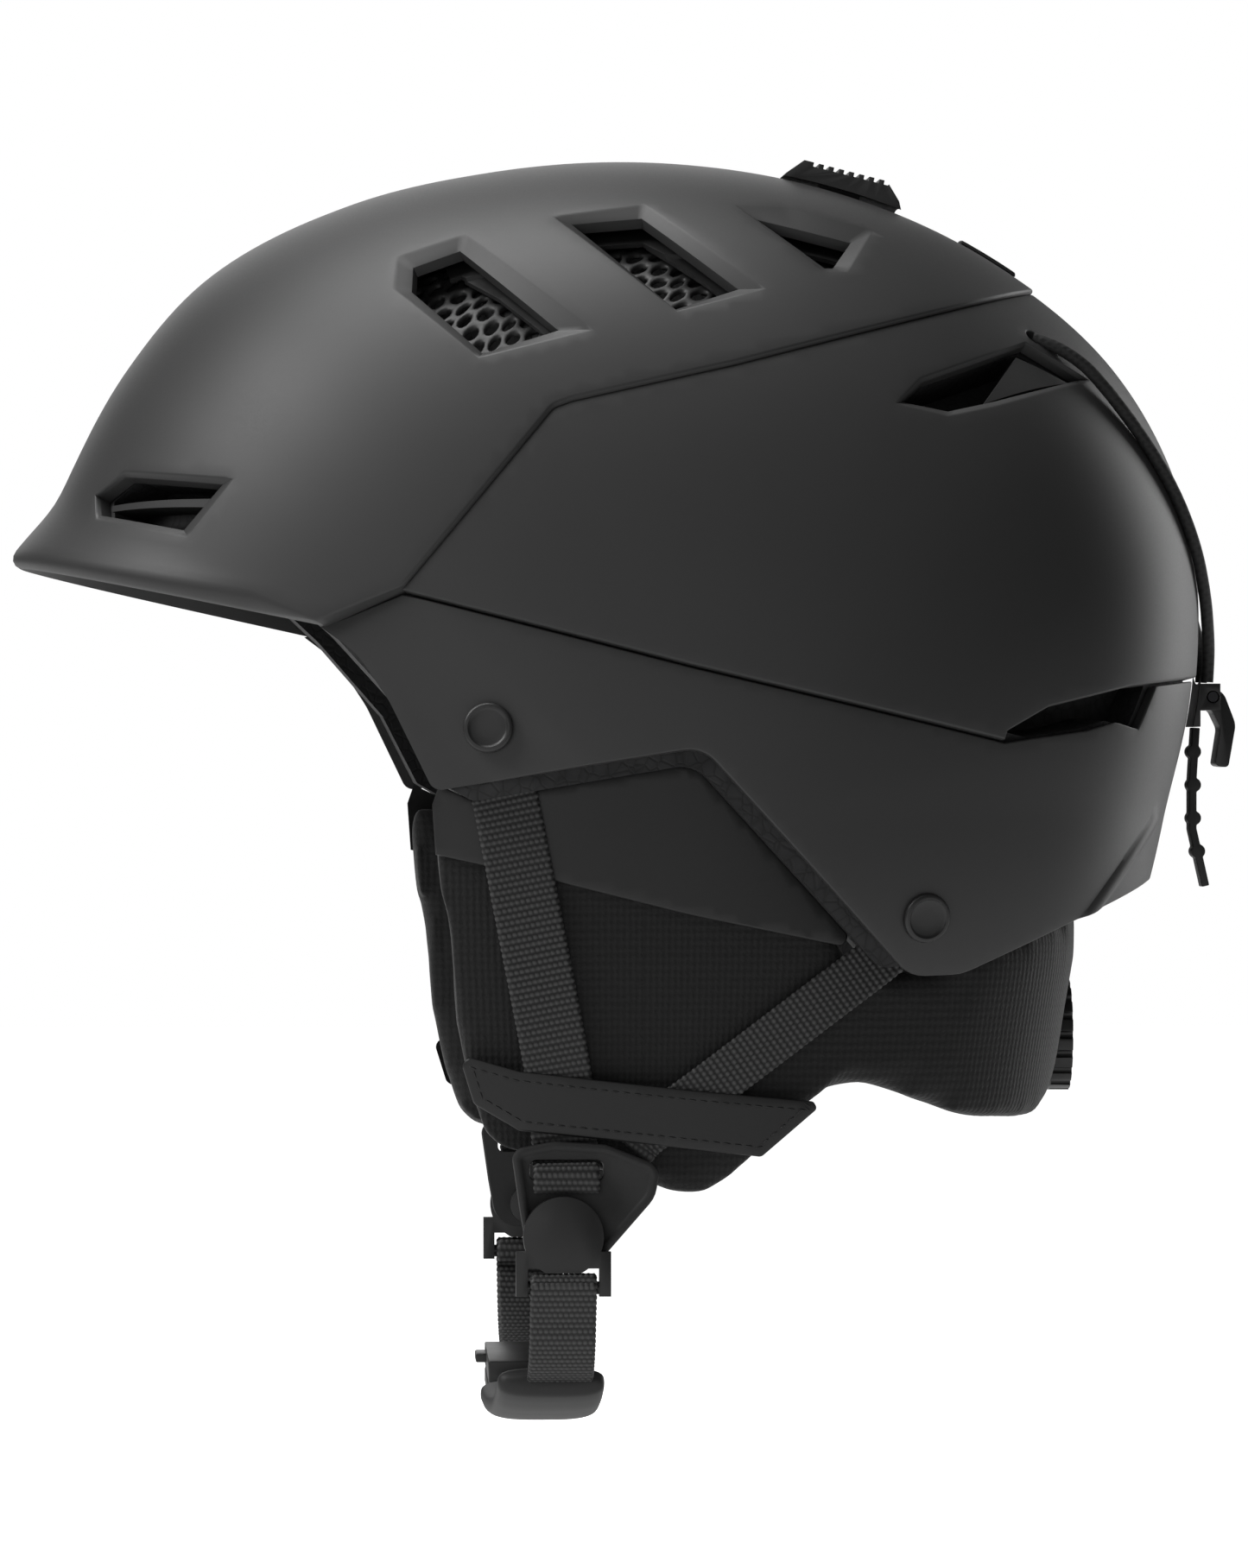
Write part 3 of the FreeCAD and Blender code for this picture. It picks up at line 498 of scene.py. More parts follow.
def steamMouldedEps():
    # black expanded polystyrene: 3 mm beads pressed flat, with thin dark seams between them
    material, tree, place = startMaterial("steamMouldedEps")
    beads = {"Vector": place, "Scale": perMm(3.2)}
    seam = addNode(tree, "ShaderNodeTexVoronoi", beads, feature="DISTANCE_TO_EDGE")
    flat = addNode(tree, "ShaderNodeMapRange", {"Value": seam.outputs[0], 1: 0.0, 2: 0.12})
    bead = addNode(tree, "ShaderNodeTexVoronoi", beads)
    rough = addNode(tree, "ShaderNodeMapRange", {"Value": bead.outputs[0], 3: 0.6, 4: 0.8})
    finishMaterial(tree, flat.outputs[0], "121212", "1b1b1c", {"Roughness": rough.outputs[0]},
                   (flat.outputs[0], 0.35, 0.2))
    return material


def wallCoordinates(tree, place):  # distance round the ear pad and height, in metres
    parts = addNode(tree, "ShaderNodeSeparateXYZ", {0: place})
    ahead = addNode(tree, "ShaderNodeMath", {0: parts.outputs[0], 1: -padShape["centreX"] * mm},
                    operation="ADD")
    turn = addNode(tree, "ShaderNodeMath", {0: ahead.outputs[0], 1: parts.outputs[1]}, operation="ARCTAN2")
    around = addNode(tree, "ShaderNodeMath", {0: turn.outputs[0], 1: padShape["meanRadius"] * mm},
                     operation="MULTIPLY")
    return around.outputs[0], parts.outputs[2]


def knitPolyester():
    # warp-knit spacer fabric: matt black, with rows of small open loops about 1.5 mm apart
    material, tree, place = startMaterial("knitPolyester")
    around, height = wallCoordinates(tree, place)
    waves = []
    for slope in (0.8, -0.8):
        lean = addNode(tree, "ShaderNodeMath", {0: height, 1: slope, 2: around}, operation="MULTIPLY_ADD")
        phase = addNode(tree, "ShaderNodeMath", {0: lean.outputs[0], 1: math.pi * perMm(1.5)},
                        operation="MULTIPLY")
        waves.append(addNode(tree, "ShaderNodeMath", {0: phase.outputs[0]}, operation="SINE").outputs[0])
    loops = addNode(tree, "ShaderNodeMath", {0: waves[0], 1: waves[1]}, operation="MULTIPLY")
    fuzz = addNode(tree, "ShaderNodeTexNoise", {"Vector": place, "Scale": perMm(0.7), "Detail": 2.0})
    cloth = addNode(tree, "ShaderNodeMath", {0: fuzz.outputs[0], 1: 2.2, 2: loops.outputs[0]},
                    operation="MULTIPLY_ADD")
    level = addNode(tree, "ShaderNodeMapRange", {"Value": cloth.outputs[0], 1: 0.2, 2: 2.0})
    finishMaterial(tree, level.outputs[0], "060606", "171717",
                   {"Roughness": 0.85, "Sheen Weight": 0.15, "Sheen Roughness": 0.4},
                   (level.outputs[0], 0.6, 0.25))
    return material


def laminatedTricot(name, dark, pale):
    # smooth tricot bonded to film: soft satin glow, hardly any thread to see
    material, tree, place = startMaterial(name)
    thread = addNode(tree, "ShaderNodeTexNoise", {"Vector": place, "Scale": perMm(0.6), "Detail": 3.0})
    finishMaterial(tree, thread.outputs[0], dark, pale, {"Roughness": 0.45}, (thread.outputs[0], 0.2, 0.05))
    return material


def brushedFleece():
    # brushed polyester over foam, inside the helmet: soft charcoal nap without shine
    material, tree, place = startMaterial("brushedFleece")
    nap = addNode(tree, "ShaderNodeTexNoise", {"Vector": place, "Scale": perMm(1.1), "Detail": 5.0})
    finishMaterial(tree, nap.outputs[0], "1b1b1d", "303033", {"Roughness": 0.9, "Sheen Weight": 0.3},
                   (nap.outputs[0], 0.5, 0.3))
    return material


def wovenPolyester():
    # woven webbing: colour follows the height of the weave, a painted highlight on the raised charcoal yarns
    # and painted shade in the black gaps between them
    material, tree, place = startMaterial("wovenPolyester")
    yarnHeightShade = addNode(tree, "ShaderNodeAttribute", attribute_name="yarnHeightShade")
    fibre = addNode(tree, "ShaderNodeTexNoise", {"Vector": place, "Scale": perMm(0.3), "Detail": 2.0})
    # the stored height becomes the colour: painted highlight where yarns stand up, painted shade where they
    # dip
    level = addNode(tree, "ShaderNodeMapRange", {"Value": yarnHeightShade.outputs["Fac"], 1: 0.25, 2: 0.95})
    finishMaterial(tree, level.outputs[0], "060606", "484848", {"Roughness": 0.6},
                   (fibre.outputs[0], 0.3, 0.05))
    return material


def mouldedRubber():
    # thermoplastic rubber: soft black, even and dull, with a faint moulded grain
    material, tree, place = startMaterial("mouldedRubber")
    grain = addNode(tree, "ShaderNodeTexNoise", {"Vector": place, "Scale": perMm(0.8), "Detail": 3.0})
    finishMaterial(tree, grain.outputs[0], "151515", "1e1e1e", {"Roughness": 0.6},
                   (grain.outputs[0], 0.2, 0.06))
    return material


def mouldedAcetal():
    # acetal clips and buckles: dense black with a waxy satin shine
    material, tree, place = startMaterial("mouldedAcetal")
    wear = addNode(tree, "ShaderNodeTexNoise", {"Vector": place, "Scale": perMm(6), "Detail": 4.0})
    rough = addNode(tree, "ShaderNodeMapRange", {"Value": wear.outputs[0], 3: 0.32, 4: 0.48})
    finishMaterial(tree, wear.outputs[0], "181818", "1d1d1d", {"Roughness": rough.outputs[0], "IOR": 1.48})
    return material


def mouldedNylon():
    # nylon fit parts and lattices: dark grey-black, slightly uneven satin
    material, tree, place = startMaterial("mouldedNylon")
    cloud = addNode(tree, "ShaderNodeTexNoise", {"Vector": place, "Scale": perMm(3), "Detail": 3.0})
    rough = addNode(tree, "ShaderNodeMapRange", {"Value": cloud.outputs[0], 3: 0.45, 4: 0.6})
    finishMaterial(tree, cloud.outputs[0], "1f1f1f", "2a2a2a", {"Roughness": rough.outputs[0]})
    return material


def braidedElastic():
    # polyester braid over rubber: fine crossing yarns, coarse enough here to show
    material, tree, place = startMaterial("braidedElastic")
    waves = []
    for lean in (1, -1):
        turn = addNode(tree, "ShaderNodeMapping", {"Vector": place, "Rotation": (0, 0.6 * lean, 0.5 * lean)})
        waves.append(addNode(tree, "ShaderNodeTexWave", {"Vector": turn.outputs[0], "Scale": perMm(1.6) / 3},
                             bands_direction="Z").outputs[1])
    braid = addNode(tree, "ShaderNodeMath", {0: waves[0], 1: waves[1]}, operation="MAXIMUM")
    finishMaterial(tree, braid.outputs[0], "080808", "1c1c1c", {"Roughness": 0.7},
                   (braid.outputs[0], 0.5, 0.15))
    return material


def blackenedSteel():
    # black-oxide screws and pin: dark metal with fine turning marks
    material, tree, place = startMaterial("blackenedSteel")
    mark = addNode(tree, "ShaderNodeTexNoise", {"Vector": place, "Scale": perMm(0.8), "Detail": 2.0})
    rough = addNode(tree, "ShaderNodeMapRange", {"Value": mark.outputs[0], 3: 0.3, 4: 0.45})
    setInputs(tree, tree.nodes["Principled BSDF"],
              {"Base Color": toLinear("3a3a3c"), "Metallic": 1, "Roughness": rough.outputs[0]})
    return material


shellPaint = mattePaintedAbs()
trimPlastic = satinPolycarbonate()
linerFoam = steamMouldedEps()
padKnit = knitPolyester()
facingCloth = laminatedTricot("laminatedTricot", "101010", "161616")
bandCloth = laminatedTricot("coatedTricot", "090909", "0d0d0d")
liningFleece = brushedFleece()
strapWeave = wovenPolyester()
softRubber = mouldedRubber()
clipAcetal = mouldedAcetal()
fitNylon = mouldedNylon()
cordBraid = braidedElastic()
screwSteel = blackenedSteel()
print("materials")

for sideName, (cord, start) in goggleCords.items():
    dress(cord, cordBraid, "helmet", "elastic", "goggle_cord_" + sideName)


# Side-view lines of the shell's seams and edges, front to rear.
seamUpper = [(-86.3, 6.8), (-66.4, 14.8), (-31.2, 57, 4), (-26.8, 58.6), (11.2, 67.2), (90.4, 88),
             (145, 101.6)]
seamLower = [(-66.4, 14.2), (-0.1, -2.9), (73.7, -20.4)]
lowerVentTop = [(74.3, -18.4), (84.5, -12.7), (105.5, -7.7), (112.7, -6.8), (145, -3)]
lowerVentBottom = [(81.1, -20), (94.1, -18.3), (101.7, -16.2), (107.8, -17.8), (112.7, -7.6), (145, -3.8)]
brimEdge = [(-175, 25.5), (-155, 21.5), (-91.5, 8.3, 20)]
lowerEdge = [(-86.3, 6.4), (-78, 0.3, 20), (-70.5, -11, 20), (-60.2, -32.3, 3), (2.6, -22.2, 8),
             (51.5, -75.6, 8), (64, -75.2, 12), (91.9, -63.1), (113.8, -54.2), (145, -46)]

ventSet = {
    "topOuter": [[(-66.2, 93.3), (-50.3, 98.6), (-22, 75.2), (-48.1, 68.7), (-67.2, 85.4)],
                 [(-29.3, 103.1), (-7.7, 106), (18.9, 85.2), (-1.6, 79.7)],
                 [(14.3, 106), (26, 105.6), (46.5, 100.4), (39.1, 89.7), (33.6, 89.6)]],
    "topInner": [[(-62.5, 90.5), (-51.5, 94.5), (-29.5, 75), (-47, 69.5), (-63, 84.5)],
                 [(-25, 101), (-8.5, 102.5), (13, 85), (-2, 80)],
                 [(19, 102.5), (28, 100.3), (41, 97), (36, 90.5), (34, 90.5)]],
    "browOuter": [(-137.2, 37.6), (-130.5, 42.9), (-105.2, 40.4), (-115.8, 27.2), (-137, 31.8)],
    "browInner": [(-136, 37), (-130, 41.6), (-107.5, 39.2), (-116.5, 28.6), (-135.6, 32.6)],
    "rearOuter": [(49.3, 58), (55.3, 64), (82.1, 73.7), (98, 64.9), (72.9, 57.7), (61.4, 55.2)],
    "rearInner": [(50.5, 58.3), (55.8, 63.1), (82, 72.6), (95.6, 64.9), (72.7, 58.7), (61.6, 56.2)],
    "topDrop": 1.5, "browDrop": 1.3, "rearDrop": 1.1,  # how deep the chamfers go
}


def shifted(points, dz):
    return [(p[0], p[1] + dz, *p[2:]) for p in points]


def ventBorders(outer, inner, depth, drop, step=1.6):
    # chamfer from the outer outline down to the opening, one a side
    outerSide, innerSide = [], []
    for i in range(len(outer)):
        a, b = np.array(outer[i], float), np.array(outer[(i + 1) % len(outer)], float)
        c, d = np.array(inner[i], float), np.array(inner[(i + 1) % len(inner)], float)
        count = max(2, round(np.linalg.norm(b - a) / step))
        for k in range(count):
            outerSide.append(a + (b - a) * k / count)
            innerSide.append(c + (d - c) * k / count)
    borders = []
    for hand in sides.values():
        loop, opening = onShell(outerSide, depth, hand), onShell(innerSide, depth + drop, hand)
        opening = shellPlaces(unit(opening - domeCentre), np.full(len(opening), depth))
        if loopArea(flatMap(unit(loop - domeCentre))) > 0:
            loop, opening = loop[::-1], opening[::-1]
        borders.append(chamferedBorder(loop, opening, drop))
    return borders


def brimAmount(loop):  # 1 along the brim, 0 along the seams, soft between
    ahead = np.clip((-88 - loop[:, 0]) / 14, 0, 1)
    low = np.clip((30 - loop[:, 2]) / 4, 0, 1)
    return ahead * low


gap = shellShape["seamGap"]
crownLoop = facedLoop(capLoop(pathOnShell(brimEdge + shifted(seamUpper, gap / 2), 0)), False)
amount = brimAmount(crownLoop)
crownBorders = [roundedBorder(crownLoop, shellShape["edgeRadius"] * (1 - amount)
                              + shellShape["brimRadius"] * amount)]
for outer, inner in zip(ventSet["topOuter"], ventSet["topInner"]):
    crownBorders += ventBorders(outer, inner, 0, ventSet["topDrop"])
crownBorders += ventBorders(ventSet["browOuter"], ventSet["browInner"], 0, ventSet["browDrop"])

# The vent shutters and their slider turn about this place, far below the crown.
slideCentre = (-6, -79)
slotSet = {"seatRadius": 197.5, "angle": 14.1, "from": -20.5, "to": 6.5, "halfWidth": 4.2, "cornerRadius": 2,
           "edgeRadius": 0.4}
slotAngle = math.radians(slotSet["angle"])
slotCorners = [(slotSet["from"], -1), (slotSet["to"], -1), (slotSet["to"], 1), (slotSet["from"], 1)]
slotOutline = roundedPath([(along, across * slotSet["halfWidth"], slotSet["cornerRadius"])
                           for along, across in slotCorners], True)[:-1]
slotAlong, slotAcross = slotOutline.T
slotPlaces = np.stack([
    slideCentre[0] + slotAlong * math.cos(slotAngle) + slotSet["seatRadius"] * math.sin(slotAngle),
    slotAcross,
    slideCentre[1] - slotAlong * math.sin(slotAngle) + slotSet["seatRadius"] * math.cos(slotAngle),
], 1)
slotLoop = facedLoop(shellPlaces(unit(slotPlaces - domeCentre), np.zeros(len(slotPlaces))), True)
crownBorders.append(roundedBorder(slotLoop, slotSet["edgeRadius"]))
crown = shellPanel("crown_shell_painted", crownBorders, lambda d: np.zeros(len(d)), shellShape["inside"])
dress(crown, shellPaint, "helmet", "matte_shell", "crown_shell")

sideUpper = pathOnShell(shifted(seamUpper[1:], -gap / 2), shellShape["sideRecess"])
sideLower = pathOnShell(shifted(seamLower[:1], 0.1) + seamLower[1:] + lowerVentTop, shellShape["sideRecess"])
sideLoop = facedLoop(bandLoop(sideUpper, sideLower), False)
sideBorders = [roundedBorder(sideLoop, shellShape["innerEdgeRadius"])]
sideBorders += ventBorders(ventSet["rearOuter"], ventSet["rearInner"], shellShape["sideRecess"],
                           ventSet["rearDrop"])
for hand in sides.values():  # the cords' eyelets
    middle = cordPoints(hand)[0]
    outward = unit(middle - domeCentre)
    across = unit(np.cross(outward, (0, 0, 1)))
    upward = np.cross(across, outward)
    turns = np.linspace(0, 2 * math.pi, 20, endpoint=False)
    spokes = np.cos(turns)[:, None] * across + np.sin(turns)[:, None] * upward
    ring = middle + cordSet["eyeletRadius"] * spokes
    ring = shellPlaces(unit(ring - domeCentre), np.full(len(ring), shellShape["sideRecess"]))
    sideBorders.append(roundedBorder(facedLoop(ring, True), cordSet["eyeletEdge"]))
sidePanel = shellPanel("side_shell_painted", sideBorders,
                       lambda d: np.full(len(d), shellShape["sideRecess"]), shellShape["inside"])
dress(sidePanel, shellPaint, "helmet", "matte_shell", "side_shell")

creaseSet = {"from": (-62.4, 14.6), "to": (-27, -22.9), "slope": 0.1, "softness": 0.6, "deepest": 2,
             "ribFrom": (94.7, -63.4), "ribTo": (114, -39.5), "ribHeight": 0.9, "ribHalfWidth": 1.5,
             "panelInside": 4.2}


def lowerDepth(direction):
    # the front lobe bends inwards ahead of a crease, and a short rib stands up near the back
    place = shellPlaces(direction, np.full(len(direction), shellShape["lowerRecess"]))[:, (0, 2)]
    start, end = np.array(creaseSet["from"]), np.array(creaseSet["to"])
    along = unit(end - start)
    beyond = (place - start) @ np.array([along[1], -along[0]])
    bend = creaseSet["slope"] * np.logaddexp(0, beyond / creaseSet["softness"]) * creaseSet["softness"]
    start, end = np.array(creaseSet["ribFrom"]), np.array(creaseSet["ribTo"])
    share = np.clip(((place - start) @ (end - start)) / ((end - start) @ (end - start)), 0, 1)
    away = np.linalg.norm(place - start - share[:, None] * (end - start), axis=1)
    rib = creaseSet["ribHeight"] * np.clip(1 - (away / creaseSet["ribHalfWidth"]) ** 2, 0, 1)
    return shellShape["lowerRecess"] + np.minimum(bend, creaseSet["deepest"]) - rib


def featureRows(start, end, offsets, spacing):  # points beside a crease or rib, so that it is drawn sharply
    start, end = np.array(start, float), np.array(end, float)
    along = unit(end - start)
    across = np.array([-along[1], along[0]])
    count = int(np.linalg.norm(end - start) / spacing)
    return [start + (end - start) * k / count + across * offset
            for offset in offsets for k in range(count + 1)]


featureSide = featureRows(creaseSet["from"], creaseSet["to"], (-1.2, -0.4, 0.4, 1.2), 1.4)
featureSide += featureRows(creaseSet["ribFrom"], creaseSet["ribTo"], np.arange(-2, 2.5, 0.5), 1)
features = np.vstack([onShell(featureSide, shellShape["lowerRecess"], hand) for hand in sides.values()])
lowerUpper = pathOnShell(lowerEdge[:1] + shifted(seamLower, -gap) + lowerVentBottom,
                         shellShape["lowerRecess"])
lowerLower = pathOnShell(lowerEdge, shellShape["lowerRecess"])
lowerLoop = facedLoop(bandLoop(lowerUpper, lowerLower), False)
lowerPanel = shellPanel("lower_shell_painted", [roundedBorder(lowerLoop, shellShape["innerEdgeRadius"])],
                        lowerDepth, creaseSet["panelInside"], features)
dress(lowerPanel, shellPaint, "helmet", "matte_shell", "lower_shell")
print("shell panels")


def softenedCopy(node, width):
    # the CAD shape with its edges rounded as a mould leaves them
    piece = mergedCopy(node, node + "_moulded", flatWithin=1)
    bevel = piece.modifiers.new("bevel", "BEVEL")
    bevel.width = width * mm
    bevel.segments = 2
    bevel.limit_method = "ANGLE"
    bevel.angle_limit = math.radians(38)
    settleModifiers(piece)
    shadeSmooth(piece, 32)
    return piece


mouldedParts = [  # node, rounding in mm, material, body, slot
    ("crown_trim", 0.3, trimPlastic, "helmet", "satin_trim"),
    ("vent_knob", 0.25, shellPaint, "vent_slider", "slider"),
    ("clip_base", 0.35, clipAcetal, "helmet", "hardware"),
    ("goggle_hook", 0.6, clipAcetal, "goggle_clip", "hardware"),
    ("ladder_strap", 0.35, softRubber, "helmet", "rubber_strap"),
    ("dial_knob", 0.35, clipAcetal, "fit_dial", "hardware"),
    ("dial_housing", 0.5, fitNylon, "fit_band", "fit_system"),
    ("buckle_male", 0.8, clipAcetal, "chin_strap", "hardware"),
    ("buckle_female", 0.8, clipAcetal, "strap_swing", "hardware"),
    ("buckle_button", 0.4, clipAcetal, "release_button", "hardware"),
    ("pivot_disc_left", 0.55, clipAcetal, "strap_swing", "hardware"),
    ("pivot_disc_right", 0.55, clipAcetal, "strap_swing", "hardware"),
]
for node, rounding, material, body, slotName in mouldedParts:
    dress(softenedCopy(node, rounding), material, body, slotName, node)

keptNodes = {  # CAD shapes that stay, and what they are made of
    "foam_liner": linerFoam, "brow_louvre_left": softRubber, "brow_louvre_right": softRubber,
    "rear_deflector_left": shellPaint, "rear_deflector_right": shellPaint, "hook_pin": screwSteel,
    "anchor_plates": fitNylon, "anchor_screws": screwSteel, "dial_pinion": fitNylon, "fit_cradle": fitNylon,
    "headband_strip": fitNylon, "shutter_bridge": fitNylon, "vent_shutter_left": fitNylon,
    "vent_shutter_right": fitNylon,
}
for node, material in keptNodes.items():
    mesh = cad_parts[node].data
    mesh.materials.clear()
    mesh.materials.append(material)
print("moulded parts")


capSet = {  # plain dished caps over the strap anchors; the profile is radius and height over the shell
    "places": [(-46.6, -17.8), (55, -61.8)], "pointsRound": 40, "lift": 0.1, "bottom": -0.4,
    "profile": [(5.8, -0.4), (5.8, 0.6), (5.6, 1.0), (5.2, 1.25), (4.7, 1.2), (4.4, 0.85), (4.0, 0.7),
                (2.0, 0.55)], "middleHeight": 0.5,
}


def dishedCap(place, normal):
    across = unit(np.cross(normal, (0, 0, 1)))
    upward = np.cross(across, normal)
    count = capSet["pointsRound"]
    turns = np.linspace(0, 2 * math.pi, count, endpoint=False)
    spokes = np.cos(turns)[:, None] * across + np.sin(turns)[:, None] * upward
    points = [point for radius, height in capSet["profile"]
              for point in place + normal * height + radius * spokes]
    points += [place + normal * capSet["middleHeight"], place + normal * capSet["bottom"]]
    rings = [np.arange(count) + start for start in range(0, len(points) - 2, count)]
    faces = [face for inner, outer in zip(rings[1:], rings) for face in bridge(inner, outer)]
    for start, end in zip(rings[-1], np.roll(rings[-1], -1)):
        faces.append([start, end, len(points) - 2])
    for start, end in zip(rings[0], np.roll(rings[0], -1)):
        faces.append([end, start, len(points) - 1])
    return points, faces


capPoints, capFaces = [], []
for hand in sides.values():
    for x, z in capSet["places"]:
        near = onShell([(x, z), (x + 1, z), (x, z + 1)], shellShape["lowerRecess"], hand)
        normal = unit(np.cross(near[1] - near[0], near[2] - near[0]))
        normal *= np.sign(normal[1] * hand)
        points, faces = dishedCap(near[0] + normal * capSet["lift"], normal)
        capFaces += [[len(capPoints) + int(i) for i in face] for face in faces]
        capPoints += points
caps = makePiece("anchor_caps_dished", capPoints, capFaces)
faceOutwards(caps)
shadeSmooth(caps, 40)
dress(caps, trimPlastic, "helmet", "hardware", "anchor_caps")
print("anchor caps")


# Geometry node trees make what repeats: lattice cells, woven yarns and stitches.

def startTree(name, sizes):
    tree = bpy.data.node_groups.new(name, "GeometryNodeTree")
    tree.interface.new_socket("Geometry", in_out="INPUT", socket_type="NodeSocketGeometry")
    for label, value in sizes.items():
        kind = "NodeSocketInt" if isinstance(value, int) else "NodeSocketFloat"
        tree.interface.new_socket(label, in_out="INPUT", socket_type=kind).default_value = value
    tree.interface.new_socket("Material", in_out="INPUT", socket_type="NodeSocketMaterial")
    tree.interface.new_socket("Geometry", in_out="OUTPUT", socket_type="NodeSocketGeometry")
    return tree, addNode(tree, "NodeGroupInput").outputs


def endTree(tree, inputs, geometry):
    real = addNode(tree, "GeometryNodeRealizeInstances", {0: geometry})
    painted = addNode(tree, "GeometryNodeSetMaterial", {"Geometry": real.outputs[0],
                                                        "Material": inputs["Material"]})
    addNode(tree, "NodeGroupOutput", {0: painted.outputs[0]})
    return tree


def grow(piece, tree, sizes, material):
    modifier = piece.modifiers.new(tree.name, "NODES")
    modifier.node_group = tree
    for item in tree.interface.items_tree:
        if item.in_out == "INPUT" and item.name in sizes:
            modifier[item.identifier] = sizes[item.name]
        if item.in_out == "INPUT" and item.name == "Material":
            modifier[item.identifier] = material
    settleModifiers(piece)
    return piece


latticeSet = {"Length": 0.1335, "Width": 0.058, "Rows": 26, "Columns": 13, "Jitter": 0.0013, "Opening": 0.74,
              "Thickness": 0.0014, "Seed": 7}


def latticeTree():
    tree, inputs = startTree("openLattice", latticeSet)
    grid = addNode(tree, "GeometryNodeMeshGrid",
                   {"Size X": inputs["Width"], "Size Y": inputs["Length"],
                    "Vertices X": inputs["Columns"], "Vertices Y": inputs["Rows"]})
    split = addNode(tree, "GeometryNodeTriangulate", {0: grid.outputs[0]})
    low = addNode(tree, "ShaderNodeMath", {0: inputs["Jitter"], 1: -1.0}, operation="MULTIPLY")
    least = addNode(tree, "ShaderNodeCombineXYZ", {0: low.outputs[0], 1: low.outputs[0]})
    most = addNode(tree, "ShaderNodeCombineXYZ", {0: inputs["Jitter"], 1: inputs["Jitter"]})
    random = addNode(tree, "FunctionNodeRandomValue", {0: least.outputs[0], 1: most.outputs[0],
                                                       "Seed": inputs["Seed"]}, data_type="FLOAT_VECTOR")
    loose = addNode(tree, "GeometryNodeSetPosition", {"Geometry": split.outputs[0],
                                                      "Offset": random.outputs[0]})
    cells = addNode(tree, "GeometryNodeDualMesh", {0: loose.outputs[0]})
    rims = addNode(tree, "GeometryNodeExtrudeMesh", {"Mesh": cells.outputs[0], "Offset Scale": 0.0},
                   mode="FACES")
    shrunk = addNode(tree, "GeometryNodeScaleElements", {"Geometry": rims.outputs[0],
                                                         "Selection": rims.outputs["Top"],
                                                         "Scale": inputs["Opening"]})
    opened = addNode(tree, "GeometryNodeDeleteGeometry", {"Geometry": shrunk.outputs[0],
                                                          "Selection": rims.outputs["Top"]}, domain="FACE")
    joined = addNode(tree, "GeometryNodeMergeByDistance", {"Geometry": opened.outputs[0], "Distance": 1e-6})
    walls = addNode(tree, "GeometryNodeExtrudeMesh",
                    {"Mesh": joined.outputs[0], "Offset Scale": inputs["Thickness"], "Individual": False},
                    mode="FACES")
    under = addNode(tree, "GeometryNodeFlipFaces", {0: joined.outputs[0]})
    both = addNode(tree, "GeometryNodeJoinGeometry")
    tree.links.new(walls.outputs[0], both.inputs[0])
    tree.links.new(under.outputs[0], both.inputs[0])
    closed = addNode(tree, "GeometryNodeMergeByDistance", {"Geometry": both.outputs[0], "Distance": 1e-6})
    smooth = addNode(tree, "GeometryNodeSubdivisionSurface", {"Mesh": closed.outputs[0], "Level": 1})
    return endTree(tree, inputs, smooth.outputs[0])


weaveSet = {"Rib pitch": 0.00145, "Yarn pitch": 0.0013, "Height": 0.00034}


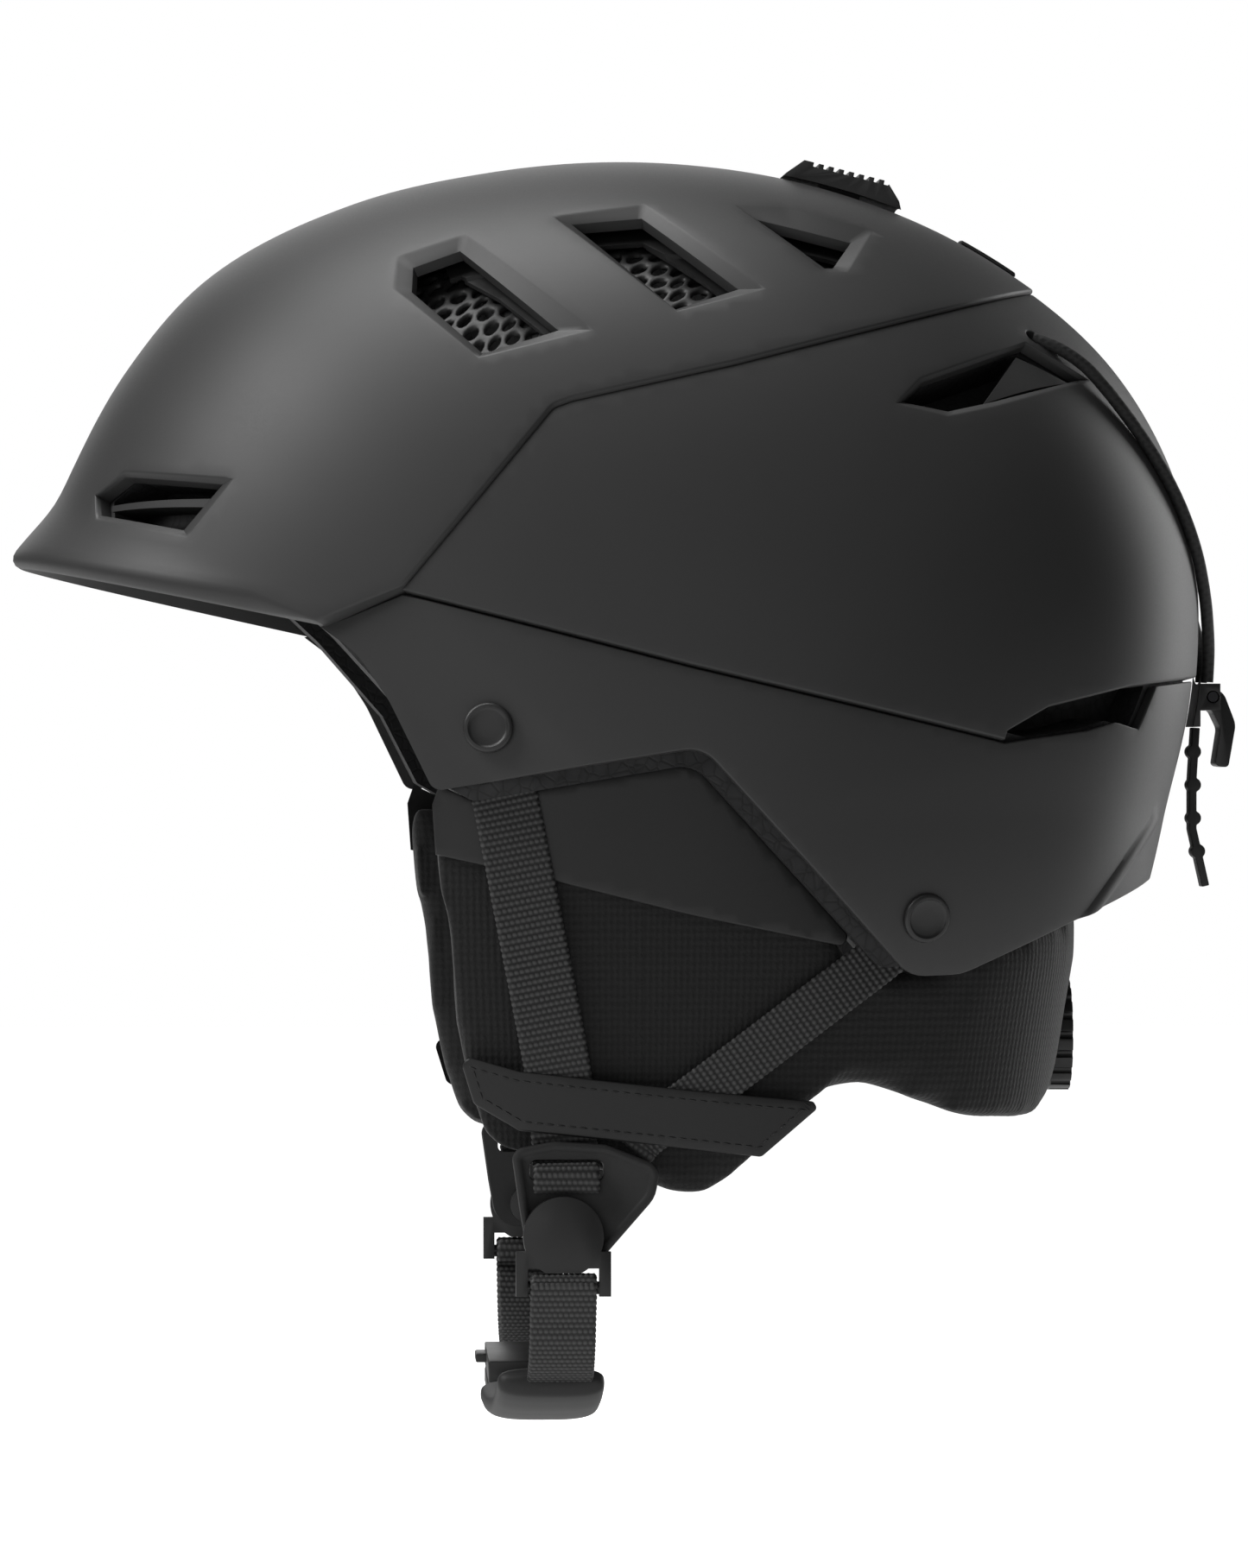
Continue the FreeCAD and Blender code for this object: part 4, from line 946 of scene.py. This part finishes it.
def weaveTree():
    # lifts rows of yarns out of a strap and stores their height, which the webbing's colour turns into
    # painted highlight and painted shade; "strapPlace" holds the distance along and across it
    tree, inputs = startTree("ribbedWeave", weaveSet)
    place = addNode(tree, "GeometryNodeInputNamedAttribute", {"Name": "strapPlace"}, data_type="FLOAT_VECTOR")
    parts = addNode(tree, "ShaderNodeSeparateXYZ", {0: place.outputs[0]})
    rows = addNode(tree, "ShaderNodeMath", {0: parts.outputs[0], 1: inputs["Rib pitch"]}, operation="DIVIDE")
    rowTurn = addNode(tree, "ShaderNodeMath", {0: rows.outputs[0], 1: math.pi}, operation="MULTIPLY")
    rowWave = addNode(tree, "ShaderNodeMath", {0: rowTurn.outputs[0]}, operation="SINE")
    row = addNode(tree, "ShaderNodeMath", {0: rowWave.outputs[0]}, operation="ABSOLUTE")
    number = addNode(tree, "ShaderNodeMath", {0: rows.outputs[0]}, operation="FLOOR")
    half = addNode(tree, "ShaderNodeMath", {0: number.outputs[0], 1: 0.5}, operation="MULTIPLY")
    yarns = addNode(tree, "ShaderNodeMath", {0: parts.outputs[1], 1: inputs["Yarn pitch"]},
                    operation="DIVIDE")
    staggered = addNode(tree, "ShaderNodeMath", {0: yarns.outputs[0], 1: half.outputs[0]}, operation="ADD")
    yarnTurn = addNode(tree, "ShaderNodeMath", {0: staggered.outputs[0], 1: math.pi}, operation="MULTIPLY")
    yarnWave = addNode(tree, "ShaderNodeMath", {0: yarnTurn.outputs[0]}, operation="SINE")
    yarnHeightShade = addNode(tree, "ShaderNodeMath", {0: yarnWave.outputs[0]}, operation="ABSOLUTE")
    share = addNode(tree, "ShaderNodeMath", {0: yarnHeightShade.outputs[0], 1: 0.75, 2: 0.25}, operation="MULTIPLY_ADD")
    level = addNode(tree, "ShaderNodeMath", {0: row.outputs[0], 1: share.outputs[0]}, operation="MULTIPLY")
    lift = addNode(tree, "ShaderNodeMath", {0: level.outputs[0], 1: inputs["Height"]}, operation="MULTIPLY")
    normal = addNode(tree, "GeometryNodeInputNormal")
    offset = addNode(tree, "ShaderNodeVectorMath", {0: normal.outputs[0], "Scale": lift.outputs[0]},
                     operation="SCALE")
    # the height is stored as the mask for the webbing's painted highlight and painted shade
    heightShadeStored = addNode(tree, "GeometryNodeStoreNamedAttribute", {"Geometry": inputs["Geometry"], "Name": "yarnHeightShade",
                                                             "Value": level.outputs[0]})
    raised = addNode(tree, "GeometryNodeSetPosition", {"Geometry": heightShadeStored.outputs[0],
                                                       "Offset": offset.outputs[0]})
    return endTree(tree, inputs, raised.outputs[0])


stitchSet = {"Spacing": 0.0026, "Length": 0.0019, "Thickness": 0.00045}


def stitchTree():
    # a row of sewn stitches along an edge line
    tree, inputs = startTree("sewnRow", stitchSet)
    line = addNode(tree, "GeometryNodeMeshToCurve", {0: inputs["Geometry"]})
    spots = addNode(tree, "GeometryNodeCurveToPoints",
                    {"Curve": line.outputs[0], "Length": inputs["Spacing"]}, mode="LENGTH")
    bead = addNode(tree, "GeometryNodeMeshUVSphere", {"Segments": 8, "Rings": 6, "Radius": 0.5})
    size = addNode(tree, "ShaderNodeCombineXYZ", {0: inputs["Thickness"], 1: inputs["Thickness"],
                                                  2: inputs["Length"]})
    shaped = addNode(tree, "GeometryNodeTransform", {"Geometry": bead.outputs[0], "Scale": size.outputs[0]})
    laid = addNode(tree, "GeometryNodeInstanceOnPoints", {"Points": spots.outputs[0],
                                                          "Instance": shaped.outputs[0],
                                                          "Rotation": spots.outputs["Rotation"]})
    return endTree(tree, inputs, laid.outputs[0])


lattice, weave, stitching = latticeTree(), weaveTree(), stitchTree()


grilleSet = {  # lattices under the top vents: a line (y, radius) over the crown, swept through these angles
    "line": [(34, 184.2), (50, 177), (65, 166.2), (74, 157), (81, 146.5)], "drop": 2.9,
    "angles": (-20.5, 19.5),
}

for sideName, hand in sides.items():
    grille = makePiece("vent_lattice_" + sideName, [(0, 0, 0), (1, 0, 0), (0, 1, 0)], [[0, 1, 2]])
    grow(grille, lattice, latticeSet, fitNylon)
    flat = np.array([v.co for v in grille.data.vertices]) / mm
    line = np.array(grilleSet["line"], float)
    reach = np.concatenate([[0], np.cumsum(np.linalg.norm(np.diff(line, axis=0), axis=1))])
    across = (flat[:, 0] / (latticeSet["Width"] / mm) + 0.5) * reach[-1]
    turn = np.radians(np.interp(flat[:, 1] / (latticeSet["Length"] / mm), (-0.5, 0.5), grilleSet["angles"]))
    radius = np.interp(across, reach, line[:, 1]) - grilleSet["drop"] - flat[:, 2]
    bent = np.stack([slideCentre[0] + radius * np.sin(turn), hand * np.interp(across, reach, line[:, 0]),
                     slideCentre[1] + radius * np.cos(turn)], 1) * mm
    grille.data.vertices.foreach_set("co", bent.ravel())
    faceOutwards(grille)
    shadeSmooth(grille, 60)
    dress(grille, fitNylon, "helmet", "lattice", "vent_grille_" + sideName)
print("lattices")


def padSize(z, offset):  # half length and half width of the ear pad's oval at a height
    heights, lengths, widths = np.array(padShape["levels"], float)[::-1].T
    return np.interp(z, heights, lengths) + offset, np.interp(z, heights, widths) + offset


def padSideY(x, z, offset):
    length, width = padSize(z, offset)
    along = np.abs((x - padShape["centreX"]) / length)
    return width * np.clip(1 - along ** padShape["exponent"], 0, 1) ** (1 / padShape["exponent"])


clothSet = {"pressure": 4, "quality": 4, "frames": 20}


def stuffedPad(node, name, pad):
    # a slightly smaller copy is remeshed, blown up as cloth, and held to a small swell
    piece = mergedCopy(node, name)
    remesh = piece.modifiers.new("remesh", "REMESH")
    remesh.mode = "VOXEL"
    remesh.voxel_size = pad["voxel"] * mm
    smooth = piece.modifiers.new("smooth", "SMOOTH")
    smooth.factor = 0.5
    smooth.iterations = pad["smoothing"]
    shrink = piece.modifiers.new("shrink", "DISPLACE")
    shrink.strength = -pad["startsSmaller"] * mm
    shrink.mid_level = 0
    settleModifiers(piece)
    rest = np.array([v.co for v in piece.data.vertices])
    cloth = piece.modifiers.new("cloth", "CLOTH")
    cloth.settings.use_pressure = True
    cloth.settings.uniform_pressure_force = clothSet["pressure"]
    cloth.settings.effector_weights.gravity = 0
    cloth.settings.quality = clothSet["quality"]
    cloth.point_cache.frame_start = 1
    cloth.point_cache.frame_end = clothSet["frames"]
    for number in range(1, clothSet["frames"] + 1):
        bpy.context.scene.frame_set(number)
    settleModifiers(piece)
    bpy.context.scene.frame_set(1)
    moved = np.array([v.co for v in piece.data.vertices]) - rest
    length = np.linalg.norm(moved, axis=1, keepdims=True)
    moved *= np.minimum(1, pad["cap"] * mm / np.maximum(length, 1e-9))
    piece.data.vertices.foreach_set("co", (rest + moved).ravel())
    finer = piece.modifiers.new("finer", "SUBSURF")
    finer.levels = finer.render_levels = 1
    settleModifiers(piece)
    shadeSmooth(piece, 180)
    return piece


earPadSet = {"voxel": 3.6, "smoothing": 3, "startsSmaller": 0.3, "cap": 2.0, "keepInside": 0.35}
earPad = stuffedPad("ear_neck_pad", "ear_neck_pad_knit", earPadSet)
places = np.array([v.co for v in earPad.data.vertices]) / mm  # drawn back inside the oval, under the facings
exponent, fromCentre = padShape["exponent"], places[:, 0] - padShape["centreX"]
lengthAt, widthAt = padSize(places[:, 2], -earPadSet["keepInside"])
beyond = (np.abs(fromCentre / lengthAt) ** exponent
          + np.abs(places[:, 1] / widthAt) ** exponent) ** (1 / exponent)
scale = 1 / np.maximum(beyond, 1)
places[:, 0] = padShape["centreX"] + fromCentre * scale
places[:, 1] *= scale
earPad.data.vertices.foreach_set("co", (places * mm).ravel())
dress(earPad, padKnit, "helmet", "knit", "ear_neck_pad")

facingSet = {  # inner and outer: millimetres off the pad's wall
    "panel": {"outline": [(-59.2, -35.6), (-57.6, -31), (-50, -34.6), (1.3, -26.1, 8), (41, -69.5, 2),
                          (0.7, -61.2, 150), (-31.3, -53.2, 150), (-58.4, -47.2)],
              "inner": 0.1, "outer": 0.8},
    "band": {"outline": [(-53.1, -93.4, 2), (-39, -97.4), (1.2, -101.9), (29.4, -104.5, 1), (30.4, -106.2, 1),
                         (17.3, -117.4, 1.5), (-7, -114.6), (-39, -111.2), (-49.5, -105, 2)],
             "inner": 3.1, "outer": 3.9},
    "pointSpacing": 2.2, "edgeSpacing": 1.8, "lip": 0.5, "seamInset": 2.2,
}


def evenLoop(outline, step):  # anticlockwise points along a closed outline
    path = roundedPath(outline, True)
    loop = []
    for a, b in zip(path, path[1:]):
        count = max(1, round(np.linalg.norm(b - a) / step))
        loop += [a + (b - a) * k / count for k in range(count)]
    loop = np.array(loop)
    return loop[::-1] if loopArea(loop) < 0 else loop


def facing(name, outline, inner, outer, hand):
    # thin cloth cut to an outline and laid on the pad's wall
    border = evenLoop(outline, facingSet["edgeSpacing"])
    before = unit(border - np.roll(border, 1, 0))
    after = unit(np.roll(border, -1, 0) - border)
    left = unit(np.stack([-(before + after)[:, 1], (before + after)[:, 0]], 1))
    inset = border + left * facingSet["lip"]
    low, high = border.min(0), border.max(0)
    step = facingSet["pointSpacing"]
    heights = np.arange(low[1], high[1], step * 0.87)
    grid = np.array([(x + (row % 2) * step / 2, z) for row, z in enumerate(heights)
                     for x in np.arange(low[0], high[0], step)])
    gaps = np.min(np.linalg.norm(grid[:, None] - inset[None], axis=2), axis=1)
    flat = np.vstack([inset, grid[(gaps > step * 0.5) & insideLoops(grid, [inset])]])

    def lifted(points, offset):
        return np.stack([points[:, 0], hand * padSideY(points[:, 0], points[:, 1], offset), points[:, 1]], 1)

    edge = [lifted(border + left * 0.12, outer - 0.12), lifted(border, outer - 0.4), lifted(border, inner)]
    piece = closedPlate(name, lifted(flat, outer), lifted(flat, inner), triangles(flat, [inset]), [edge], 50,
                        hand > 0)
    seam = lifted(border + left * facingSet["seamInset"], outer + 0.05) * mm
    return piece, seam, (high - low) * mm, loopArea(border) * mm * mm


for sideName, hand in sides.items():
    for part, cloth in (("panel", facingCloth), ("band", bandCloth)):
        node = "ear_" + part + "_" + sideName
        piece, seam, size, area = facing(node + "_facing", **facingSet[part], hand=hand)
        dress(piece, cloth, "helmet", "smooth_facing", node)
        if part == "band":
            mesh = bpy.data.meshes.new(node + "_stitches")
            mesh.from_pydata(seam.tolist(), [(i, (i + 1) % len(seam)) for i in range(len(seam))], [])
            row = addObject(mesh.name, mesh)
            grow(row, stitching, stitchSet, cloth)
            shadeSmooth(row, 180)
            dress(row, cloth, "helmet", "smooth_facing")

comfortSet = {"voxel": 2.6, "smoothing": 2, "startsSmaller": 0.5, "cap": 1.2}
padBodies = {"brow_pad": "helmet", "crown_pad": "helmet", "rear_pad": "helmet", "side_pad_left": "helmet",
             "side_pad_right": "helmet", "cradle_pad_left": "fit_band", "cradle_pad_right": "fit_band"}
for node, body in padBodies.items():
    pad = stuffedPad(node, node + "_fleece", comfortSet)
    dress(pad, liningFleece, body, "comfort_pad", node)
print("pads")


def smoothLine(points, spacing):  # evenly spaced points on a smooth curve through the given ones
    points = np.asarray(points, float)
    padded = np.vstack([2 * points[0] - points[1], points, 2 * points[-1] - points[-2]])
    fine = []
    for i in range(1, len(padded) - 2):
        a, b, c, d = padded[i - 1:i + 3]
        for s in np.linspace(0, 1, 30, endpoint=False):
            fine.append(0.5 * (2 * b + (c - a) * s + (2 * a - 5 * b + 4 * c - d) * s**2
                               + (3 * b - a - 3 * c + d) * s**3))
    fine = np.array(fine + [points[-1]])
    length = np.concatenate([[0], np.cumsum(np.linalg.norm(np.diff(fine, axis=0), axis=1))])
    stations = np.linspace(0, length[-1], max(2, round(length[-1] / spacing)) + 1)
    return np.stack([np.interp(stations, length, fine[:, axis]) for axis in range(3)], 1), stations


webbingSet = {"thickness": 1.1, "alongStep": 0.36, "acrossSteps": 36}


def webbingStrap(node, body, route, width, outward=None):
    # closed flat strap with rounded selvedges; it lies across X, or flat against a wall that faces outward
    line, stations = smoothLine(route, webbingSet["alongStep"])
    along = unit(np.gradient(line, axis=0))
    across = np.tile((1.0, 0, 0), (len(line), 1)) if outward is None else np.cross(along, outward)
    across = unit(across - (across * along).sum(1)[:, None] * along)
    through = np.cross(along, across)
    steps, half = webbingSet["acrossSteps"], webbingSet["thickness"] / 2
    shares = np.arange(steps + 1) / steps
    swell = np.minimum(1, np.sqrt(np.maximum(0, 1 - np.abs(2 * shares - 1) ** 14)) + 0.25)
    section = [(width * (share - 0.5), half * t) for share, t in zip(shares, swell)]
    section += [(w, -t) for w, t in reversed(section)]
    points = np.stack([line + across * w + through * t for w, t in section], 1).reshape(-1, 3)
    places = np.array([(station, w, 0) for station in stations for w, t in section])
    size = len(section)
    rows = [np.arange(size) + start for start in range(0, len(points), size)]
    faces = [face for row, following in zip(rows, rows[1:]) for face in bridge(row, following)]
    last = len(points) - size
    for a in range(steps):
        b = size - 1 - a
        faces.append([a, a + 1, b - 1, b])
        faces.append([last + b, last + b - 1, last + a + 1, last + a])
    piece = makePiece(node.replace("webbing", "webbing_woven"), points, faces, 180)
    faceOutwards(piece)
    attribute = piece.data.attributes.new("strapPlace", "FLOAT_VECTOR", "POINT")
    attribute.data.foreach_set("vector", (places * mm).ravel())
    grow(piece, weave, weaveSet, strapWeave)
    shadeSmooth(piece, 180)
    return dress(piece, strapWeave, body, "webbing", node)


sideStrapSet = {
    "front": [(-45.6, -27), (-43.2, -31), (-36.6, -64), (-30.2, -97), (-28.6, -112), (-28.3, -117)],
    "rear": [(47, -69.6), (30, -82.4), (3.2, -102.6), (-9.5, -111.6), (-13, -115.5)],
    "standOff": 2.1, "frontWidth": 15, "rearWidth": 11,
}
yokeSet = {  # soft strap dividers with a raised border
    "outline": [(-41, -115.5, 3), (-31, -113.6, 6), (-18.9, -114.4, 6), (-6.4, -119.4, 3.5),
                (-7.5, -126.6, 7), (-20.5, -141.5, 6), (-37, -140.8, 6), (-39, -129.5, 20)],
    "slot": [(-36.6, -122.6, 1.5), (-19.6, -122.6, 1.5), (-19.6, -118, 1.5), (-36.6, -118, 1.5)],
    "border": 2.0, "sunk": 0.7, "pivot": (-29.0, -135.6), "bore": 3.2, "innerY": 91.5, "thickness": 3.0,
    "strapX": -28.2, "strapLift": 0.9, "strapHeights": (-120.4, -125.4), "edgeSpacing": 1.2,
}


def wallLine(route, hand):
    route = np.array(route, float)
    return np.stack([route[:, 0], hand * padSideY(route[:, 0], route[:, 1], sideStrapSet["standOff"]),
                     route[:, 1]], 1)


strapY = yokeSet["innerY"] + yokeSet["thickness"] + yokeSet["strapLift"]
for sideName, hand in sides.items():
    lowerEnd = [(yokeSet["strapX"], hand * strapY, z) for z in yokeSet["strapHeights"]]
    route = np.vstack([wallLine(sideStrapSet["front"], hand), lowerEnd])
    webbingStrap("front_webbing_" + sideName, "helmet", route, sideStrapSet["frontWidth"], (0, hand, 0))
    low, high = np.array(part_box("rear_webbing_" + sideName)) / mm
    upperEnd = (high[0] - 3, hand * (max(abs(low[1]), abs(high[1])) - 3), high[2] - 3)
    route = np.vstack([[upperEnd], wallLine(sideStrapSet["rear"], hand)])
    webbingStrap("rear_webbing_" + sideName, "helmet", route, sideStrapSet["rearWidth"], (0, hand, 0))

chinSet = {
    "x": -29.0, "width": 15, "barY": 96.5, "barZ": -147.4, "loopRadius": 2.6,
    "route": [(95.2, -155), (92, -161), (84, -167.6), (66, -173.6), (38, -177.4), (0, -178.8)],
    "buckleY": 51.0, "buckleZ": -175.8, "tilt": 7.7, "buckleLength": 26,
    "guard": [(-80, -169.4), (-72, -172.2), (-60, -175), (-38, -178), (0, -179.6), (28, -179)],
}
tilt = math.radians(chinSet["tilt"])
buckleAlong = np.array([0, math.cos(tilt), math.sin(tilt)])
buckleUp = np.array([0, -math.sin(tilt), math.cos(tilt)])
bucklePlace = np.array([chinSet["x"], chinSet["buckleY"], chinSet["buckleZ"]])


def barLoop(hand):  # round the yoke's bar from its inner side, over the top and down the outer side
    turns = np.radians(np.linspace(-60, 180, 14))
    radius = chinSet["loopRadius"]
    return [(chinSet["x"], hand * (chinSet["barY"] - radius * math.cos(turn)),
             chinSet["barZ"] + radius * math.sin(turn)) for turn in turns]


maleEnd = bucklePlace - buckleAlong * (chinSet["buckleLength"] / 2 + 1.5) - buckleUp * 2.4
chinRoute = [(chinSet["x"], -y, z) for y, z in chinSet["route"]]
webbingStrap("chin_webbing_left", "chin_strap", barLoop(-1) + chinRoute + [tuple(maleEnd)], chinSet["width"])
femaleEnd = bucklePlace + buckleAlong * (chinSet["buckleLength"] / 2 + 0.3) + buckleUp * 3
chinRoute = [(chinSet["x"], y, z) for y, z in chinSet["route"] if y > femaleEnd[1] + 1]
webbingStrap("chin_webbing_right", "strap_swing", barLoop(1) + chinRoute + [tuple(femaleEnd)],
             chinSet["width"])
print("webbing")

guardSet = {  # a soft moulded cup round the chin strap
    "width": 25, "thickness": 7, "roundness": 3.2, "spacing": 1.0, "endLength": 3.5, "pointsRound": 48,
    "ahead": 2,
}
guardRoute = [(chinSet["x"] - guardSet["ahead"], y, z) for y, z in chinSet["guard"]]
guardLine, guardStations = smoothLine(guardRoute, guardSet["spacing"])
count, power = guardSet["pointsRound"], 2 / guardSet["roundness"]
turns = np.linspace(0, 2 * math.pi, count, endpoint=False)
sideways = np.sign(np.cos(turns)) * np.abs(np.cos(turns)) ** power * guardSet["width"] / 2
upwards = np.sign(np.sin(turns)) * np.abs(np.sin(turns)) ** power * guardSet["thickness"] / 2
points = []
for place, direction, station in zip(guardLine, unit(np.gradient(guardLine, axis=0)), guardStations):
    fromEnd = min(station, guardStations[-1] - station)
    taper = (1 - max(0, 1 - fromEnd / guardSet["endLength"]) ** 2.5) ** 0.5
    upward = np.cross((1, 0, 0), direction)
    points.append(place + sideways[:, None] * (0.85 + 0.15 * taper) * np.array((1, 0, 0))
                  + upwards[:, None] * max(taper, 0.3) * upward)
rows = np.arange(len(points) * count).reshape(-1, count)
faces = [face for row, following in zip(rows, rows[1:]) for face in bridge(following, row)]
faces += [rows[0][::-1].tolist(), rows[-1].tolist()]
guard = makePiece("chin_guard_moulded", np.vstack(points), faces, 50)
faceOutwards(guard)
dress(guard, softRubber, "chin_strap", "comfort_pad", "chin_guard")


def leftOf(loop):
    along = unit(np.roll(loop, -1, 0) - np.roll(loop, 1, 0))
    return np.stack([-along[:, 1], along[:, 0]], 1)


def yokePlate(name, hand):
    outer = evenLoop(yokeSet["outline"], yokeSet["edgeSpacing"])
    slot = evenLoop(yokeSet["slot"], yokeSet["edgeSpacing"])[::-1]
    turns = np.linspace(0, -2 * math.pi, 28, endpoint=False)
    bore = np.array(yokeSet["pivot"]) + yokeSet["bore"] * np.stack([np.cos(turns), np.sin(turns)], 1)
    thick, sunk, border = yokeSet["thickness"], yokeSet["sunk"], yokeSet["border"]
    away = np.linalg.norm(outer - np.array(yokeSet["pivot"]), axis=1)
    narrowing = np.clip((away - 6) / 5, 0.3, 1)[:, None]
    shapes = [  # loop, narrowing, then (inset, height) rings from the sunk field over the border to the back
        (outer, narrowing, [(border + 0.5, thick - sunk), (border, thick - sunk * 0.5),
                            (border - 0.5, thick - 0.05), (border / 2, thick), (0.7, thick),
                            (0.2, thick - 0.25), (0, thick - 0.8), (0, 0.6), (0.3, 0)]),
        (slot, 1, [(0.7, thick - sunk), (0.2, thick - sunk - 0.1), (0, thick - sunk - 0.5), (0, 0)]),
        (bore, 1, [(0.4, thick - sunk), (0, thick - sunk - 0.3), (0, 0)]),
    ]

    def placed(flat, height):
        return np.stack([flat[:, 0], np.full(len(flat), hand * (yokeSet["innerY"] + height)), flat[:, 1]], 1)

    loops = [loop + leftOf(loop) * share * rings[0][0] for loop, share, rings in shapes]
    flat = np.vstack(loops)
    borders = [[placed(loop + leftOf(loop) * share * inset, height) for inset, height in rings[1:]]
               for loop, share, rings in shapes]
    return closedPlate(name, placed(flat, thick - sunk), placed(flat, 0), triangles(flat, loops), borders, 40,
                       hand > 0)


for sideName, hand in sides.items():
    yoke = yokePlate("yoke_moulded_" + sideName, hand)
    dress(yoke, softRubber, "helmet", "yoke", "yoke_" + sideName)
print("yokes and guard")


stageSet = {"floorZ": -300, "floorReach": 9000, "ambient": 0.09}
floorCorners = [(x * stageSet["floorReach"], y * stageSet["floorReach"], stageSet["floorZ"])
                for x, y in ((-1, -1), (1, -1), (1, 1), (-1, 1))]
floor = makePiece("floor", floorCorners, [[0, 1, 2, 3]])
floorPaint = bpy.data.materials.new("paleFloor")
floorPaint.use_nodes = True
tree = floorPaint.node_tree
shader = tree.nodes["Principled BSDF"]
setInputs(tree, shader, {"Base Color": toLinear("f4f4f4"), "Roughness": 0.9})
seen = addNode(tree, "ShaderNodeLightPath")
place = addNode(tree, "ShaderNodeTexCoord").outputs["Object"]
away = addNode(tree, "ShaderNodeVectorMath", {0: place}, operation="LENGTH")
fade = addNode(tree, "ShaderNodeMapRange", {"Value": away.outputs["Value"], 1: 0.4, 2: 1.0, 3: 0.6, 4: 1.0})
glow = addNode(tree, "ShaderNodeEmission", {"Color": (1, 1, 1, 1), "Strength": fade.outputs[0]})
none = addNode(tree, "ShaderNodeEmission", {"Strength": 0.0})
either = addNode(tree, "ShaderNodeMixShader", {0: seen.outputs["Is Camera Ray"], 1: none.outputs[0],
                                               2: glow.outputs[0]})
total = addNode(tree, "ShaderNodeAddShader", {0: shader.outputs[0], 1: either.outputs[0]})
side = addNode(tree, "ShaderNodeNewGeometry")  # the floor is clear from below
clear = addNode(tree, "ShaderNodeBsdfTransparent")
shown = addNode(tree, "ShaderNodeMixShader", {0: side.outputs["Backfacing"], 1: total.outputs[0],
                                              2: clear.outputs[0]})
setInputs(tree, tree.nodes["Material Output"], {"Surface": shown.outputs[0]})
floor.data.materials.append(floorPaint)

world = bpy.data.worlds.new("studio")
bpy.context.scene.world = world
world.use_nodes = True
tree = world.node_tree
seen = addNode(tree, "ShaderNodeLightPath")
around = addNode(tree, "ShaderNodeBackground", {"Color": (1, 1, 1, 1), "Strength": stageSet["ambient"]})
behind = addNode(tree, "ShaderNodeBackground", {"Color": (1, 1, 1, 1), "Strength": 1.0})
direct = addNode(tree, "ShaderNodeMixShader", {0: seen.outputs["Is Camera Ray"], 1: around.outputs[0],
                                               2: behind.outputs[0]})
setInputs(tree, tree.nodes["World Output"], {"Surface": direct.outputs[0]})

lamps = [  # name, place, width and height in m, watts; all aim at the origin
    ("frontSoftbox", (-1.5, -0.4, 1.4), 0.9, 1.0, 28),
    ("rearSoftbox", (1.35, 1.25, 0.35), 0.6, 1.2, 9),
    ("sideFill", (-0.7, -2.6, 0.3), 1.4, 1.0, 5),
    ("topSoftbox", (-0.4, 0.2, 1.9), 1.2, 0.9, 26),
    ("farFill", (-0.3, 2.4, 1.0), 1.6, 1.4, 10),
]
for name, place, width, height, watts in lamps:
    light = bpy.data.lights.new(name, "AREA")
    light.shape = "RECTANGLE"
    light.size = width
    light.size_y = height
    light.energy = watts
    lamp = addObject(name, light)
    lamp.location = place
    lamp.rotation_mode = "QUATERNION"
    lamp.rotation_quaternion = (-Vector(place)).to_track_quat("-Z", "Y")
bpy.context.scene.view_settings.view_transform = "Standard"
print("stage")
